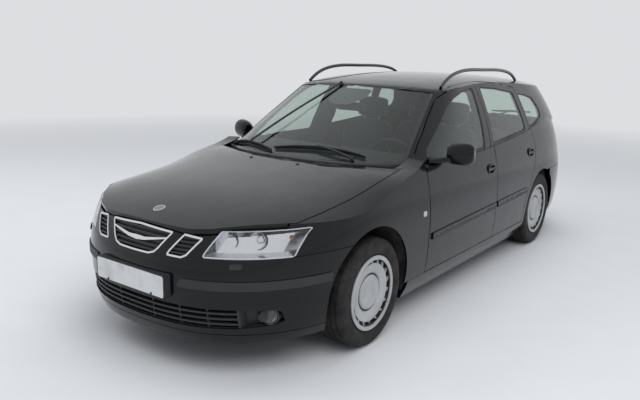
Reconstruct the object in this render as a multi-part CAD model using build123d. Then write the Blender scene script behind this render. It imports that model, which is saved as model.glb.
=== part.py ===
"""Five-door station wagon, built from its skin panels, glass, running gear and cabin.

Frame: millimetres, +Z up, the front of the car towards -Y and its left side towards +X.
The origin is on the ground under the middle of the body.  Lengthwise places are given as
distances behind the front bumper and turned into Y by station().  Heights are drawn from the
level of an unladen tyre's foot; the export lowers the car by what the loaded tyres give.
"""

from build123d import *
from functools import cache
from math import cos, hypot, pi, radians, sin, sqrt
import os

# ------------------------------------------------------------------ driving dimensions
body_length = 4653.0
body_width = 1762.0
wheelbase = 2675.0
front_overhang = 934.0
front_track = 1524.0
rear_track = 1506.0
tyre_radius = 309.0
axle_height = 321.0
ground = axle_height - tyre_radius
tyre_width = 215.0
rim_radius = 203.0

# heights of the body
sill_bottom = 158.0
door_bottom = 282.0
bumper_top = 640.0
skin_floor = 150.0
skin_ceiling = 1120.0
cabin_floor_level = 880.0
cabin_ceiling = 1540.0

# wall thicknesses
door_wall = 60.0
frame_wall = 32.0
panel_wall = 10.0
bumper_wall = 12.0
bonnet_wall = 26.0
glass_wall = 4.5
glass_inset = 5.0
screen_inset = 3.0

# clearances
shut_gap = 6.0
seam_gap = 3.0
seat_gap = 0.3
overlap = 100.0

# moving panels
door_nose_radius = 60.0
door_hinge_x = 862.0
front_door_start = 1545.0
door_split = 2602.0
bonnet_hinge_distance = 1420.0
bonnet_hinge_height = 898.0
tailgate_hinge_distance = 4150.0
tailgate_hinge_depth = 70.0
tailgate_nose_radius = 100.0
tailgate_nose_reach = 13.0

# wheel arches
front_arch_radius = 360.0
rear_arch_radius = 335.0
wheelhouse_gap = 14.0
arch_centre_height = 338.0

# fullness and lengths of the plan outlines
nose_fullness = 2.6
tail_fullness = 3.4
nose_length = 1100.0
tail_start = 3500.0
screen_fullness = 5.0
rear_glass_fullness = 5.0
screen_length = 2500.0
rear_glass_start = 3300.0
screen_slant = 2.05
rear_glass_slant = 1.3
roof_crown = 32.0
roof_roll = 30.0
roof_half_width = 620.0

# doors, their hinges and frames
door_nose_top = 938.0
door_swing = 65.0
window_frame_sweep = 122.0
door_hinge_heights = (450.0, 630.0)
hinge_length = 55.0
hinge_knuckle = 8.0
hinge_pin = 6.0
hinge_reach = 22.0
door_arch_margin = 48.0
door_frame_top = 1412.0
door_start_line = 1539.0

# body sides, screens, tailgate and sills
screen_foot = 944.0
windscreen_foot = 962.0
roof_split = 548.0
tailgate_bottom = 668.0
tailgate_pin = 8.0
plate_recess = 14.0
sill_wall = 120.0
sill_front = 1336.0
sill_rear = 3300.0
tail_lamp_gap = 0.0

# bumpers, strips and grilles
front_bumper_bottom = 192.0
rear_bumper_bottom = 236.0
rear_bumper_top = 655.0
lip_seam_height = 246.0
lip_seam_depth = 3.0
strip_end = 585.0
grille_rim = 9.0

# platform
floor_level = 175.0
floor_wall = 14.0
firewall_front = 1372.0
load_floor_level = 540.0
heel_board = 3020.0
load_step = 3492.0
bonnet_arm_outer = 703.0
bonnet_pin = 6.0
bonnet_arm_room = 6.0
front_wheelhouse_inner = 462.0
rear_wheelhouse_inner = 600.0

# suspension and steering; points are (x, height)
kingpin_low = (700.0, 215.0)
kingpin_high = (576.0, 830.0)
strut_low = (618.0, 400.0)
strut_tilt = 6.0
strut_stem = 8.0
ball_radius = 14.0
arm_boss = 24.0
tower_x = 580.0
tower_radius = 86.0
tower_top = 838.0
hub_face = 10.0
paddle_count = 18
paddle_root = 166.0
paddle_slant = 35.0
rack_height = 315.0
engine_rear = 980.0
rack_radius = 14.0

# worked out from the above
half_width = body_width / 2
front_axle = front_overhang
rear_axle = front_overhang + wheelbase
rack_distance = front_axle + 190
front_arch_edge = front_axle - front_arch_radius


def station(distance):
    """Y of a place that lies this far behind the front bumper."""
    return distance - body_length / 2


# ------------------------------------------------------------------ guides
def through(*knots):
    """A natural cubic spline through (place, value) knots, straight beyond its ends."""
    places = [k[0] for k in knots]
    values = [k[1] for k in knots]
    spans = [b - a for a, b in zip(places, places[1:])]
    rises = [(b - a) / h for a, b, h in zip(values, values[1:], spans)]
    last = len(knots) - 1
    diagonal, load, bends = [1.0], [0.0], [0.0] * (last + 1)
    for i in range(1, last):
        ratio = spans[i - 1] / diagonal[-1] if i > 1 else 0.0
        diagonal.append(2 * (spans[i - 1] + spans[i]) - ratio * (spans[i - 1] if i > 1 else 0.0))
        load.append(6 * (rises[i] - rises[i - 1]) - ratio * load[-1])
    for i in range(last - 1, 0, -1):
        bends[i] = (load[i] - spans[i] * bends[i + 1]) / diagonal[i]

    def value(place):
        i = sum(place > k for k in places[1:-1])
        h, t = spans[i], min(max(place, places[0]), places[-1]) - places[i]
        slope = rises[i] - h * (2 * bends[i] + bends[i + 1]) / 6
        bend, twist = bends[i] / 2, (bends[i + 1] - bends[i]) / (6 * h)
        beyond = place - places[i] - t
        return values[i] + slope * t + bend * t**2 + twist * t**3 + beyond * (slope + 2 * bend * t
                                                                              + 3 * twist * t**2)

    return value


# lower body, by height: how far the side tucks in, and the nose and tail lie back
side_tuck = through((150, 78), (230, 36), (330, 13), (460, 3), (560, 0), (680, 2), (800, 16), (900, 38),
                    (980, 64), (1120, 130))
nose_lie = through((150, 66), (230, 28), (330, 8), (460, 0), (560, 3), (640, 22), (720, 58), (800, 110),
                   (960, 230), (1120, 330))
tail_lie = through((150, 130), (230, 60), (330, 22), (460, 4), (560, 0), (640, 14), (720, 48), (800, 62),
                   (960, 88), (1120, 120))

# bonnet and front wings, by distance behind the bumper: height on the centreline, crown and edge roll
bonnet_line = through((-100, 700), (70, 760), (190, 796), (400, 844), (700, 890), (1000, 928), (1250, 956),
                      (1450, 974), (1560, 1010), (1800, 1180))
bonnet_crown = through((0, 28), (450, 42), (900, 40), (1500, 20), (1800, 20))
bonnet_roll = through((0, 40), (450, 40), (900, 42), (1500, 4), (1800, 4))

# cabin, by height
cabin_half_width = through((880, 822), (960, 800), (1070, 768), (1200, 716), (1300, 668), (1360, 636),
                           (1420, 602), (1540, 520))
screen_line = through((880, 1095), (960, 1240), (1100, 1494), (1250, 1766), (1385, 2010), (1540, 2290))
screen_bow = through((880, 185), (960, 180), (1385, 95), (1540, 60))
rear_glass_line = through((880, 4600), (1000, 4530), (1200, 4402), (1380, 4240), (1540, 4060))

# roof, by distance behind the bumper
roof_line = through((1700, 1290), (2010, 1388), (2200, 1424), (2500, 1452), (2800, 1463), (3200, 1459),
                    (3600, 1442), (4000, 1410), (4240, 1382), (4500, 1345))

# window sill line of the side glass
belt_line = through((1400, 936), (2000, 944), (2500, 955), (3000, 985), (3400, 1018), (3800, 1072),
                    (4300, 1100))


# ------------------------------------------------------------------ skins
def past_middle(width, fullness):
    """The superellipse point that lies overlap past the car's middle plane."""
    across = -overlap / width
    return across, (1 - abs(across) ** fullness) ** (1 / fullness)


def round_end(angle, step, width, fullness):
    """Point of a round end after some steps of an angle; the step before the first lies past the middle."""
    if step < 0:
        return past_middle(width, fullness)
    return superellipse(angle * step, fullness)


def superellipse(angle, fullness):
    """Unit superellipse point at a polar angle, as (across, along)."""
    reach = (abs(sin(angle)) ** fullness + abs(cos(angle)) ** fullness) ** (-1 / fullness)
    return reach * sin(angle), reach * cos(angle)


def lower_contour(height, inset):
    """Half plan outline of the lower body at one height, from the nose round the side to the tail."""
    width = half_width - side_tuck(height) - inset
    nose = nose_lie(height) + inset
    tail = body_length - tail_lie(height) - inset
    points = []
    for i in range(-1, 11):
        across, along = round_end(pi / 20, i, width, nose_fullness)
        points.append((width * across, station(nose_length - (nose_length - nose) * along), height))
    for i in range(1, 9):
        points.append((width, station(nose_length + (tail_start - nose_length) * i / 9), height))
    for i in range(8, -2, -1):
        across, along = round_end(pi / 16, i, width, tail_fullness)
        points.append((width * across, station(tail_start + (tail - tail_start) * along), height))
    return points


def cabin_contour(height, inset):
    """Half plan outline of the cabin at one height, from the windscreen round the side to the rear glass."""
    width = cabin_half_width(height) - inset
    front = screen_line(height) + inset * screen_slant
    rear = rear_glass_line(height) - inset * rear_glass_slant
    bow = screen_bow(height)
    points = []
    for i in range(-1, 15):
        across, along = round_end(pi / 28, i, width, screen_fullness)
        reach = screen_length - bow - front
        points.append((width * across, station(screen_length - reach * along - bow * (1 - across**2)),
                       height))
    for i in range(1, 4):
        points.append((width, station(screen_length + (rear_glass_start - screen_length) * i / 4), height))
    for i in range(10, -2, -1):
        across, along = round_end(pi / 20, i, width, rear_glass_fullness)
        points.append((width * across, station(rear_glass_start + (rear - rear_glass_start) * along), height))
    return points


def level_places(row):
    """How far along a row each of its points lies, from 0 to 1."""
    run = [0.0]
    for (x0, y0, _), (x1, y1, _) in zip(row, row[1:]):
        run.append(run[-1] + hypot(x1 - x0, y1 - y0))
    return [place / run[-1] for place in run]


def lofted(rows, closing):
    """Smooth solid through rows of points, each row closed by the corners that closing(row) gives."""
    places = level_places(rows[len(rows) // 2])
    sections = []
    for row in rows:
        curve = Edge.make_spline([Vector(*point) for point in row], parameters=places)
        sections.append(Wire([curve, *Polyline(row[-1], *closing(row), row[0]).edges()]))
    return Solid.make_loft(sections)


def half_solid(rows):
    """Solid inside a skin through level rows of points, up to a plane just past the middle."""
    return lofted(rows, lambda row: [])


def below(height_at, distances, half_span):
    """Everything under a height field over (distance, x), for x from just past the middle plane outwards."""
    spans = [half_span * i / 12 - half_span * 0.05 for i in range(13)]
    rows = [[(x, station(d), height_at(d, x)) for x in spans] for d in distances]
    return lofted(rows, lambda row: [(row[-1][0], row[-1][1], -1000), (row[0][0], row[0][1], -1000)])


lower_levels = [skin_floor + (skin_ceiling - skin_floor) * i / 13 for i in range(14)]
cabin_levels = [cabin_floor_level + (cabin_ceiling - cabin_floor_level) * i / 9 for i in range(10)]


def bonnet_height(distance, x):
    share = x / 800.0
    return bonnet_line(distance) - bonnet_crown(distance) * share**2 - bonnet_roll(distance) * share**6


def roof_height(distance, x):
    share = x / roof_half_width
    return roof_line(distance) - roof_crown * share**2 - roof_roll * share**6


@cache
def bonnet_solid(depth):
    """Everything under the bonnet and wing surface, that much deeper."""
    places = [-150 + 1950 * i / 20 for i in range(21)]
    return below(lambda d, x: bonnet_height(d, x) - depth, places, 960.0)


@cache
def roof_solid(depth):
    places = [1000 + 3800 * i / 24 for i in range(25)]
    return below(lambda d, x: roof_height(d, x) - depth, places, 940.0)


@cache
def lower_hull(inset):
    return half_solid([lower_contour(z, inset) for z in lower_levels])


@cache
def front_hull(inset):
    """The lower body cut to the bonnet surface, as far back as the doors."""
    return keep(lower_hull(inset) & bonnet_solid(inset))


@cache
def cabin_hull(inset):
    hull = half_solid([cabin_contour(z, inset) for z in cabin_levels])
    return keep(hull & roof_solid(inset))


# ------------------------------------------------------------------ small helpers
def keep(shape):
    """The solids of a boolean's result as one compound, or the one solid."""
    solids = list(shape.solids())
    return solids[0] if len(solids) == 1 else Compound(solids)


def biggest(shape):
    return max(shape.solids(), key=lambda s: s.volume)


def block(x, d, z):
    """Box from ranges of x, distance behind the bumper, and height."""
    size = [b - a for a, b in (x, d, z)]
    place = Location((x[0], station(d[0]), z[0]))
    return Box(*size, align=(Align.MIN,) * 3).moved(place)


def corners(points):
    """The points of a closed outline where it turns."""
    around = zip(points[-1:] + points[:-1], points, points[1:] + points[:1])
    return [b for a, b,
            c in around if abs((b[0] - a[0]) * (c[1] - b[1]) - (b[1] - a[1]) * (c[0] - b[0])) > 1e-6]


def outline(points, radius=0.0):
    """A planar face through points, its corners rounded."""
    face = make_face(Polyline(*corners(points), close=True))
    if radius:
        face = fillet(face.vertices(), radius)
    return face


def side_prism(points, x0, x1, radius=0.0):
    """Prism through the body side, from an outline in (distance, height)."""
    face = outline([(station(d), z) for d, z in points], radius)
    face = Plane((x0, 0, 0), x_dir=(0, 1, 0), z_dir=(1, 0, 0)) * face
    return extrude(face, x1 - x0)


def front_prism(points, d0, d1, radius=0.0):
    """Prism along the car, from an outline in (x, height)."""
    face = outline([(-x, z) for x, z in points], radius)
    face = Plane((0, station(d0), 0), x_dir=(-1, 0, 0), z_dir=(0, 1, 0)) * face
    return extrude(face, d1 - d0)


def plan_prism(points, z0, z1, radius=0.0):
    """Upright prism, from an outline in (x, distance)."""
    face = outline([(x, station(d)) for x, d in points], radius)
    return extrude(Plane.XY.offset(z0) * face, z1 - z0)


def along_x(shape):
    """A shape built about Z, turned so that its axis is X and its top faces +X."""
    return shape.rotate(Axis.Y, 90)


def disc(radius, x0, x1, distance, height):
    """Cylinder across the car."""
    cylinder = Cylinder(radius, x1 - x0, align=(Align.CENTER, Align.CENTER, Align.MIN))
    return along_x(cylinder).moved(Location((x0, station(distance), height)))


def other_side(shape):
    return shape.mirror(Plane.YZ)


def whole(half):
    """A centre panel from its left half."""
    half = keep(half & block((0, 2000), (-500, 6000), (-10, 2500)))
    return (half + other_side(half)).clean()


def both(half):
    """A left piece and its mirror image, as one node of two solids."""
    return Compound([*half.solids(), *other_side(half).solids()])


# ------------------------------------------------------------------ shut lines
def skin_x(distance, height):
    """Half width of the body at a place on its side."""
    if height < belt_line(distance):
        return half_width - side_tuck(height)
    return cabin_half_width(height)


def turned(face, centre, start, sweep, axis):
    """Revolve a face drawn as (radius, height or x) about a hinge axis."""
    return revolve(face.rotate(Axis(centre, axis), start), Axis(centre, axis), sweep)


@cache
def door_cut(which, gap=0.0):
    """Region that a side door keeps to while it swings about its upright hinge."""
    hinge = door_hinge(which)
    run = front_door_outline if which == "front" else rear_door_outline
    points = [(max(0.0, radius_of_door(hinge, d, z)) if d > hinge else 0.0, z) for d, z in run]
    face = make_face(Polyline(*points, close=True))
    if gap:
        face = offset(face, gap, kind=Kind.INTERSECTION) & Rectangle(4000, 4000,
                                                                     align=(Align.MIN, Align.CENTER))
    centre = (door_hinge_x, station(hinge), 0)
    plane = Plane(centre, x_dir=(0, 1, 0), z_dir=(1, 0, 0))
    swept = turned(plane * face, centre, -30, 115, (0, 0, 1))
    height = door_nose_top - door_bottom + 2 * gap
    nose = Cylinder(door_nose_radius + gap, height, align=(Align.CENTER, Align.CENTER, Align.MIN))
    region = swept + nose.moved(Location((door_hinge_x, station(hinge), door_bottom - gap)))
    if which == "rear":
        lead = [(d - gap, z) for d, z in rear_door_lead]
        region = region + side_prism(lead + [(2760, door_frame_top), (2760, 930)], 500, 830)
    inboard = [(x - gap, z) for x, z in door_inboard_limit]
    return keep(region & front_prism(inboard + [(1000, 1500), (1000, 100)], 0, body_length))


def door_hinge(which):
    start = front_door_start if which == "front" else door_split + shut_gap
    return start + door_nose_radius


def radius_of_door(hinge, distance, height):
    return hypot(distance - hinge, skin_x(distance, height) - frame_wall / 2 - door_hinge_x)


def arc_points(axle, radius, z0, z1, steps):
    """Points up the front of a circle about a wheel, as (distance, height)."""
    heights = [z0 + (z1 - z0) * i / steps for i in range(steps + 1)]
    return [(axle - sqrt(radius**2 - (z - arch_centre_height) ** 2), z) for z in heights]


door_inboard_limit = [(650, 100), (722, 965), (590, 1352), (560, 1500)]
door_top_line = through((1640, 975), (1990, 1254), (2130, 1330), (2290, 1380), (2450, 1403), (2655, 1412),
                        (3000, 1397), (3362, 1354))


def frame_top(d0, d1, steps):
    places = [d0 + (d1 - d0) * i / steps for i in range(steps + 1)]
    return [(d, door_top_line(d)) for d in places]


split_line = through((930, door_split), (1050, door_split + 12), (1170, door_split + 25),
                     (1290, door_split + 39), (1412, door_split + 53))
front_door_outline = (
    [(0, door_bottom), (door_split, door_bottom)]
    + [(split_line(z), z) for z in (930, 990, 1050, 1110, 1170, 1230, 1290, 1350)]
    + frame_top(2655, 1990, 7)
    + [(1640, 975), (0, 940)]
)
rear_door_outline = (
    [(0, door_bottom)]
    + arc_points(rear_axle, rear_arch_radius + door_arch_margin, door_bottom, 600, 7)
    + [(3396, 720), (3446, 860), (3436, 1000), (3362, 1354)]
    + frame_top(3310, 2680, 6)
    + [(2680, 940), (0, 940)]
)
rear_door_lead = [(split_line(z) + shut_gap + 3, z) for z in (930, 1050, 1170, 1290, door_frame_top)]

front_window = [(1700, 949), (1704, 1010), (2100, 1262), (2240, 1324), (2400, 1360), (2590, 1376),
                (2508, 957)]
rear_window = [(2664, 972), (2716, 1378), (3000, 1362), (3322, 1320), (3366, 1020), (3000, 990)]
quarter_window = [(3464, 1030), (3410, 1308), (3560, 1292), (3716, 1262), (3800, 1160), (3790, 1098),
                  (3600, 1048)]
screen_outline = [(0, screen_foot), (694, screen_foot), (700, 965), (640, 1150), (569, 1352), (400, 1372),
                  (0, 1386)]


def side_window(points, gap=0.0):
    face = outline([(station(d), z) for d, z in points], 24)
    if gap:
        face = offset(face, -gap)
    face = Plane((300, 0, 0), x_dir=(0, 1, 0), z_dir=(1, 0, 0)) * face
    return extrude(face, 700)


def screen_region(gap=0.0):
    """Half of the windscreen's aperture."""
    points = screen_outline + [(-x, z) for x, z in reversed(screen_outline[1:-1])]
    face = outline(points, 0)
    if gap:
        face = offset(face, -gap, kind=Kind.INTERSECTION)
    face = Plane((0, station(1050), 0), x_dir=(-1, 0, 0), z_dir=(0, 1, 0)) * face
    return extrude(face, 1300)


def belt_prism(lift, up):
    line = [(1300 + 150 * i, belt_line(1300 + 150 * i) + lift) for i in range(23)]
    end = 1700 if up else 0
    return side_prism(line + [(4700, belt_line(4700) + lift), (4700, end), (1300, end)], -5, 1000)


@cache
def side_wall(lower_depth, upper_depth):
    """The body side from the doors to the tail, with its glasshouse, this thick."""
    lower = (lower_hull(0) - lower_hull(lower_depth)) & belt_prism(0, False)
    upper = (cabin_hull(0) - cabin_hull(upper_depth)) & belt_prism(-45, True)
    return keep(keep(lower) + keep(upper))


@cache
def body_shell():
    return side_wall(door_wall, frame_wall)


# bonnet and tailgate turn about axes across the car; their outlines are (x, distance) or (x, height)
bonnet_outline = [(0, 78), (200, 82), (330, 96), (430, 140), (540, 232), (640, 330), (722, 432),
                  (735, 600), (745, 900),
                  (748, 1200), (742, 1372), (600, 1300), (400, 1208), (200, 1162), (0, 1150)]
tailgate_outline = [(545, 1386), (590, 1230), (636, 1080), (640, 900), (622, 700)]


def bonnet_cut(gap=0.0):
    """Half of the region that the bonnet keeps to while it lifts about its rear hinges."""
    centre = (0, station(bonnet_hinge_distance), bonnet_hinge_height)
    points = []
    for x, d in bonnet_outline:
        rise = bonnet_height(d, x) - bonnet_wall / 2 - bonnet_hinge_height
        points.append((x, hypot(bonnet_hinge_distance - d, rise)))
    points = [(-50, points[0][1])] + points + [(-50, points[-1][1])]
    face = make_face(Polyline(*points, close=True))
    if gap:
        face = offset(face, gap, kind=Kind.INTERSECTION)
    plane = Plane(centre, x_dir=(1, 0, 0), z_dir=(0, 0, 1))
    face = plane * face.mirror(Plane.XZ)
    return keep(turned(face, centre, 20, -110, (1, 0, 0)) & block((0, 1000), (-200, 2000), (0, 2000)))


def tailgate_cut(gap=0.0):
    hinge_z = roof_line(tailgate_hinge_distance) - tailgate_hinge_depth
    centre = (0, station(tailgate_hinge_distance), hinge_z)
    side = [(x + gap, max(30, hinge_z - z)) for x, z in tailgate_outline]
    foot = []
    for x in (600, 500, 400, 300, 150, 0):
        width = half_width - side_tuck(tailgate_bottom)
        along = (1 - (x / width) ** tail_fullness) ** (1 / tail_fullness)
        back = tail_start + (body_length - tail_lie(tailgate_bottom) - tail_start) * along
        foot.append((x, hypot(back - tailgate_hinge_distance, hinge_z - tailgate_bottom) + gap))
    foot[0] = (600 + gap, foot[0][1])
    points = [(0, 0), (tailgate_outline[0][0] + gap, 0)] + side[1:] + foot
    face = make_face(Polyline(*points, close=True))
    plane = Plane(centre, x_dir=(1, 0, 0), z_dir=(0, 0, -1))
    swept = turned(plane * face, centre, 45, 225, (1, 0, 0))
    nose_end = tailgate_outline[0][0] + tailgate_nose_reach + gap
    nose = disc(tailgate_nose_radius + gap, 0, nose_end, tailgate_hinge_distance, hinge_z)
    return keep(swept + nose)


# ------------------------------------------------------------------ doors
def rub_strip(start, end):
    """Raised protection strip along a door."""
    height = through((1579, 528), (3235, 568))
    run = [(start, height(start)), (end, height(end)), (end, height(end) - 42), (start, height(start) - 42)]
    return keep((lower_hull(-9) & side_prism(run, 700, 1000, 8)) - lower_hull(6))


def door_handle(distance, height):
    """Recess and pull handle: an oval ring with a grip bar across it."""
    plane = Plane((half_width - side_tuck(height), station(distance), height), x_dir=(0, 1, 0),
                  z_dir=(1, 0, 0))
    oval = Ellipse(62, 40)
    recess = extrude(plane.offset(-26) * oval, 60)
    ring = extrude(plane.offset(-30) * (Ellipse(62, 40) - Ellipse(51, 29)), 38)
    grip = extrude(plane.offset(-8) * Rectangle(120, 22), 14) & extrude(plane.offset(-30) * oval, 60)
    return recess, keep(ring + keep(grip))


def side_door(which, window, strip, handle):
    recess, grip = door_handle(*handle)
    shape = keep(body_shell() & door_cut(which)) - side_window(window) - recess
    return biggest(keep(keep(shape) + strip + grip) - hinge_room(which))


def hinge_leaves(which):
    """The body's half of a door's two hinges: a leaf on the post, its knuckle and a pin through it."""
    leaves = []
    for low in door_hinge_heights:
        high = low + hinge_length
        leaf = block((770, door_hinge_x),
                     (door_hinge(which) - hinge_knuckle, door_hinge(which) + hinge_knuckle), (low, high))
        leaves.append(leaf + upright(hinge_knuckle, which, low, high))
        leaves.append(upright(hinge_pin, which, low - hinge_reach, high + hinge_reach))
    return leaves[0].fuse(*leaves[1:])


def hinge_room(which):
    """What a door's leading edge leaves out for its hinges, over the whole swing."""
    margin = hinge_knuckle + 5
    reach = door_nose_radius + 10
    swing = radians(door_swing)
    turn = [(-reach, margin), (0, margin), (margin * cos(swing), -margin * sin(swing)),
            (margin * cos(swing) - reach * cos(swing), -margin * sin(swing) - reach * sin(swing)),
            (-reach, -margin * sin(swing) - reach * sin(swing))]
    turn = [(door_hinge_x + x, door_hinge(which) + d) for x, d in turn]
    rooms = []
    for low in door_hinge_heights:
        high = low + hinge_length
        rooms.append(plan_prism(turn, low - shut_gap, high + shut_gap))
        rooms.append(upright(margin, which, low - shut_gap, high + shut_gap))
        rooms.append(upright(hinge_pin + seat_gap, which, low - hinge_reach - 1, high + hinge_reach + 1))
    return rooms[0].fuse(*rooms[1:])


def upright(radius, which, z0, z1):
    """Cylinder about a door's hinge axis."""
    bar = Cylinder(radius, z1 - z0, align=(Align.CENTER, Align.CENTER, Align.MIN))
    return bar.moved(Location((door_hinge_x, station(door_hinge(which)), z0)))


def side_glass(window):
    pane = cabin_hull(glass_inset) & side_window(window, seat_gap)
    return biggest(keep(pane) - cabin_hull(glass_inset + glass_wall))


# ------------------------------------------------------------------ fixed body
def wheel_arch(axle, grow=0.0, x0=400.0, x1=1000.0):
    """Room for a wheel, this much wider than its arch."""
    radius = front_arch_radius if axle == front_axle else rear_arch_radius
    return disc(radius + grow, x0, x1, axle, arch_centre_height)


def left_side_frame():
    """Sill, cant rail, windscreen pillar and rear quarter of one side."""
    shape = body_shell()
    shape = shape - door_cut("front", shut_gap)
    shape = shape - door_cut("rear", shut_gap)
    shape = shape - side_window(quarter_window) - screen_region() - tailgate_cut(shut_gap)
    shape = shape - block((-10, roof_split), (0, 5000), (1150, 1700))
    shape = shape - block((-10, 1000), (0, door_start_line), (0, windscreen_foot))
    shape = shape - block((-10, 1000), (0, 5000), (0, sill_top)) - wheel_arch(rear_axle)
    shape = shape - block((-10, 1000), (rear_axle, 5000), (0, rear_bumper_top)) - lamp_region(tail_lamp_gap)
    shape = biggest(keep(shape & block((300, 1000), (0, 5000), (0, 2000))))
    height = roof_line(tailgate_hinge_distance) - tailgate_hinge_depth
    end = tailgate_outline[0][0]
    pin_end = end + tailgate_nose_reach + 17
    shape = shape + disc(tailgate_pin, end - 18, pin_end, tailgate_hinge_distance, height)
    sill = (lower_hull(0) - lower_hull(sill_wall)) & block((400, 1000), (sill_front, sill_rear),
                                                           (sill_bottom, sill_top))
    sill = keep(sill) - wheel_arch(rear_axle) - wheel_arch(front_axle)
    return keep(shape + keep(sill))


sill_top = door_bottom - shut_gap


def lamp_region(gap):
    """Rear corner that a tail lamp fills."""
    points = [(648 - gap, 700), (652 - gap, 1040), (700, 1062), (1000, 1062), (1000, 700)]
    return front_prism(points, 4330 - gap, 4700)


def roof():
    """Roof panel between the cant rails, from the windscreen to the tailgate."""
    shape = body_shell() & block((-10, roof_split), (1800, 4600), (1150, 1700))
    shape = keep(shape) - screen_region() - tailgate_cut(shut_gap)
    half = biggest(keep(shape)) & block((0, roof_split), (1800, 4600), (1150, 1700))
    return whole(keep(half))


# ------------------------------------------------------------------ front end
intake_outline = [(0, 276), (560, 282), (690, 294), (722, 310), (716, 366), (690, 376), (560, 384), (0, 390)]
nose_rest = bumper_top - seam_gap + seat_gap
centre_grille_outline = [(0, 612), (112, 614), (150, 626), (174, 650), (238, 736), (0, 745)]
side_grille_outline = [(226, 626), (316, 624), (344, 638), (408, 726), (300, 736), (238, 652)]
headlamp_outline = [(414, nose_rest), (748, nose_rest), (764, 735), (774, 772), (640, 768), (472, 762)]


def mirrored_outline(points):
    return points + [(-x, z) for x, z in reversed(points) if x > 0]


def nose_prism(points, grow=0.0, radius=8.0):
    """Prism along the nose, from an outline in (x, height) seen from the front."""
    face = outline([(-x, z) for x, z in points], radius)
    if grow:
        face = offset(face, grow)
    plane = Plane((0, station(-60), 0), x_dir=(-1, 0, 0), z_dir=(0, 1, 0))
    return extrude(plane * face, 700)


def front_bumper():
    wall = lower_hull(0) - lower_hull(bumper_wall)
    wall = keep(wall) & block((-10, 1000), (-50, front_axle), (front_bumper_bottom, bumper_top - seam_gap))
    wall = keep(wall) - nose_prism(mirrored_outline(intake_outline)) - wheel_arch(front_axle, 0, 600)
    seam = block((-10, 1000), (-50, 900),
                 (lip_seam_height - 2, lip_seam_height + 2)) - lower_hull(lip_seam_depth)
    wall = keep(keep(wall) - keep(seam)) + grille_surround()
    for points in (mirrored_outline(centre_grille_outline), side_grille_outline):
        wall = keep(wall) - nose_prism(points, seat_gap)
    return whole(biggest(keep(wall)))


def grille_surround():
    """The bumper's skin between the grilles, up to the headlamps and the bonnet's edge."""
    skin = front_hull(0) - front_hull(bumper_wall)
    skin = keep(skin) & block((-10, 470), (-50, 300), (bumper_top - seam_gap - 1, 742))
    return keep(keep(skin) - bonnet_cut(shut_gap + 1) - nose_prism(headlamp_outline, seat_gap))


def front_fender():
    """Front wing: from the lamp back to the door, round the wheel."""
    wall = (front_hull(0) - front_hull(panel_wall)) & block((-10, 1000), (60, door_start_line),
                                                            (sill_top + 3, 1100))
    wall = keep(wall) - bonnet_cut(shut_gap) - wheel_arch(front_axle) - nose_prism(headlamp_outline, seam_gap)
    wall = keep(wall) - block((-10, 1000), (-50, front_axle), (0, bumper_top))
    arm_room = block((-10, bonnet_arm_outer + bonnet_arm_room), (-50, door_start_line + 10), (0, 1200))
    wall = keep(wall) - arm_room
    return biggest(keep(wall))


def rear_bumper():
    wall = lower_hull(0) - lower_hull(bumper_wall)
    wall = keep(wall) & block((-10, 1000), (rear_axle + 200, 4700),
                              (rear_bumper_bottom, rear_bumper_top - seam_gap))
    half = keep(keep(wall) - wheel_arch(rear_axle, 0, 600))
    return whole(biggest(half))


def windscreen():
    half = cabin_hull(screen_inset) & screen_region(seat_gap)
    half = biggest(keep(half) - cabin_hull(screen_inset + glass_wall))
    return whole(half)


# ------------------------------------------------------------------ platform


def floor_pan():
    """Floor, firewall, wheelhouses, tower mounts and load floor, as one welded platform."""
    inside = lower_hull(sill_wall + seat_gap)
    floor = block((0, 1000), (firewall_front, heel_board), (floor_level, floor_level + floor_wall))
    tunnel = block((0, 130), (firewall_front, heel_board), (floor_level, floor_level + 150))
    tunnel = tunnel - block((-1, 118), (firewall_front - 1, heel_board + 1),
                            (floor_level - 1, floor_level + 138))
    heel = block((0, 1000), (heel_board, heel_board + 12), (floor_level, load_floor_level - 120))
    seat_pan = block((0, 1000), (heel_board, load_step), (load_floor_level - 132, load_floor_level - 120))
    step = block((0, 1000), (load_step - 12, load_step), (load_floor_level - 132, load_floor_level))
    load_floor = block((0, 1000), (load_step - 12, 4600), (load_floor_level - 12, load_floor_level))
    firewall = block((0, 1000), (firewall_front, firewall_front + 12), (floor_level, 856 - seat_gap))
    firewall = firewall - block((-1, 118), (firewall_front - 1, firewall_front + 13), (0, floor_level + 138))
    pan = keep(floor - block((-1, 118), (firewall_front - 1, heel_board + 1), (0, 400)))
    shape = pan + tunnel + heel + seat_pan + step + load_floor + firewall
    shape = keep(shape) & inside
    shape = keep(shape) - wheel_arch(rear_axle, wheelhouse_gap, rear_wheelhouse_inner)
    house = wheel_arch(rear_axle, wheelhouse_gap + 6, rear_wheelhouse_inner - 6, 820)
    house = house - wheel_arch(rear_axle, wheelhouse_gap, rear_wheelhouse_inner, 830)
    house = keep(house) & block((0, 1000), (3000, 4300),
                                (load_floor_level - 12, 900)) & lower_hull(door_wall + seat_gap)
    shape = keep(shape) + keep(house)
    beam = lower_hull(bumper_wall + seat_gap) - lower_hull(bumper_wall + 40)
    beam = beam & block((-1, 560), (4400, 4700), (480, 600))
    stay = block((380, 430), (4440, 4640), (500, 560)) & lower_hull(bumper_wall + 30)
    bracket = block((bonnet_arm_outer + 5, bonnet_arm_outer + 13),
                    (firewall_front + 1, bonnet_hinge_distance + 12),
                    (846, bonnet_hinge_height + 12))
    pin = disc(bonnet_pin, bonnet_arm_outer - 7, bonnet_arm_outer + 13, bonnet_hinge_distance,
               bonnet_hinge_height)
    shape = biggest(keep(shape) + keep(beam) + keep(stay) + bracket + pin)
    return whole(keep(shape - block((-10, 60), (heel_board - 20, heel_board + 40), (0, 290))))


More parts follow.
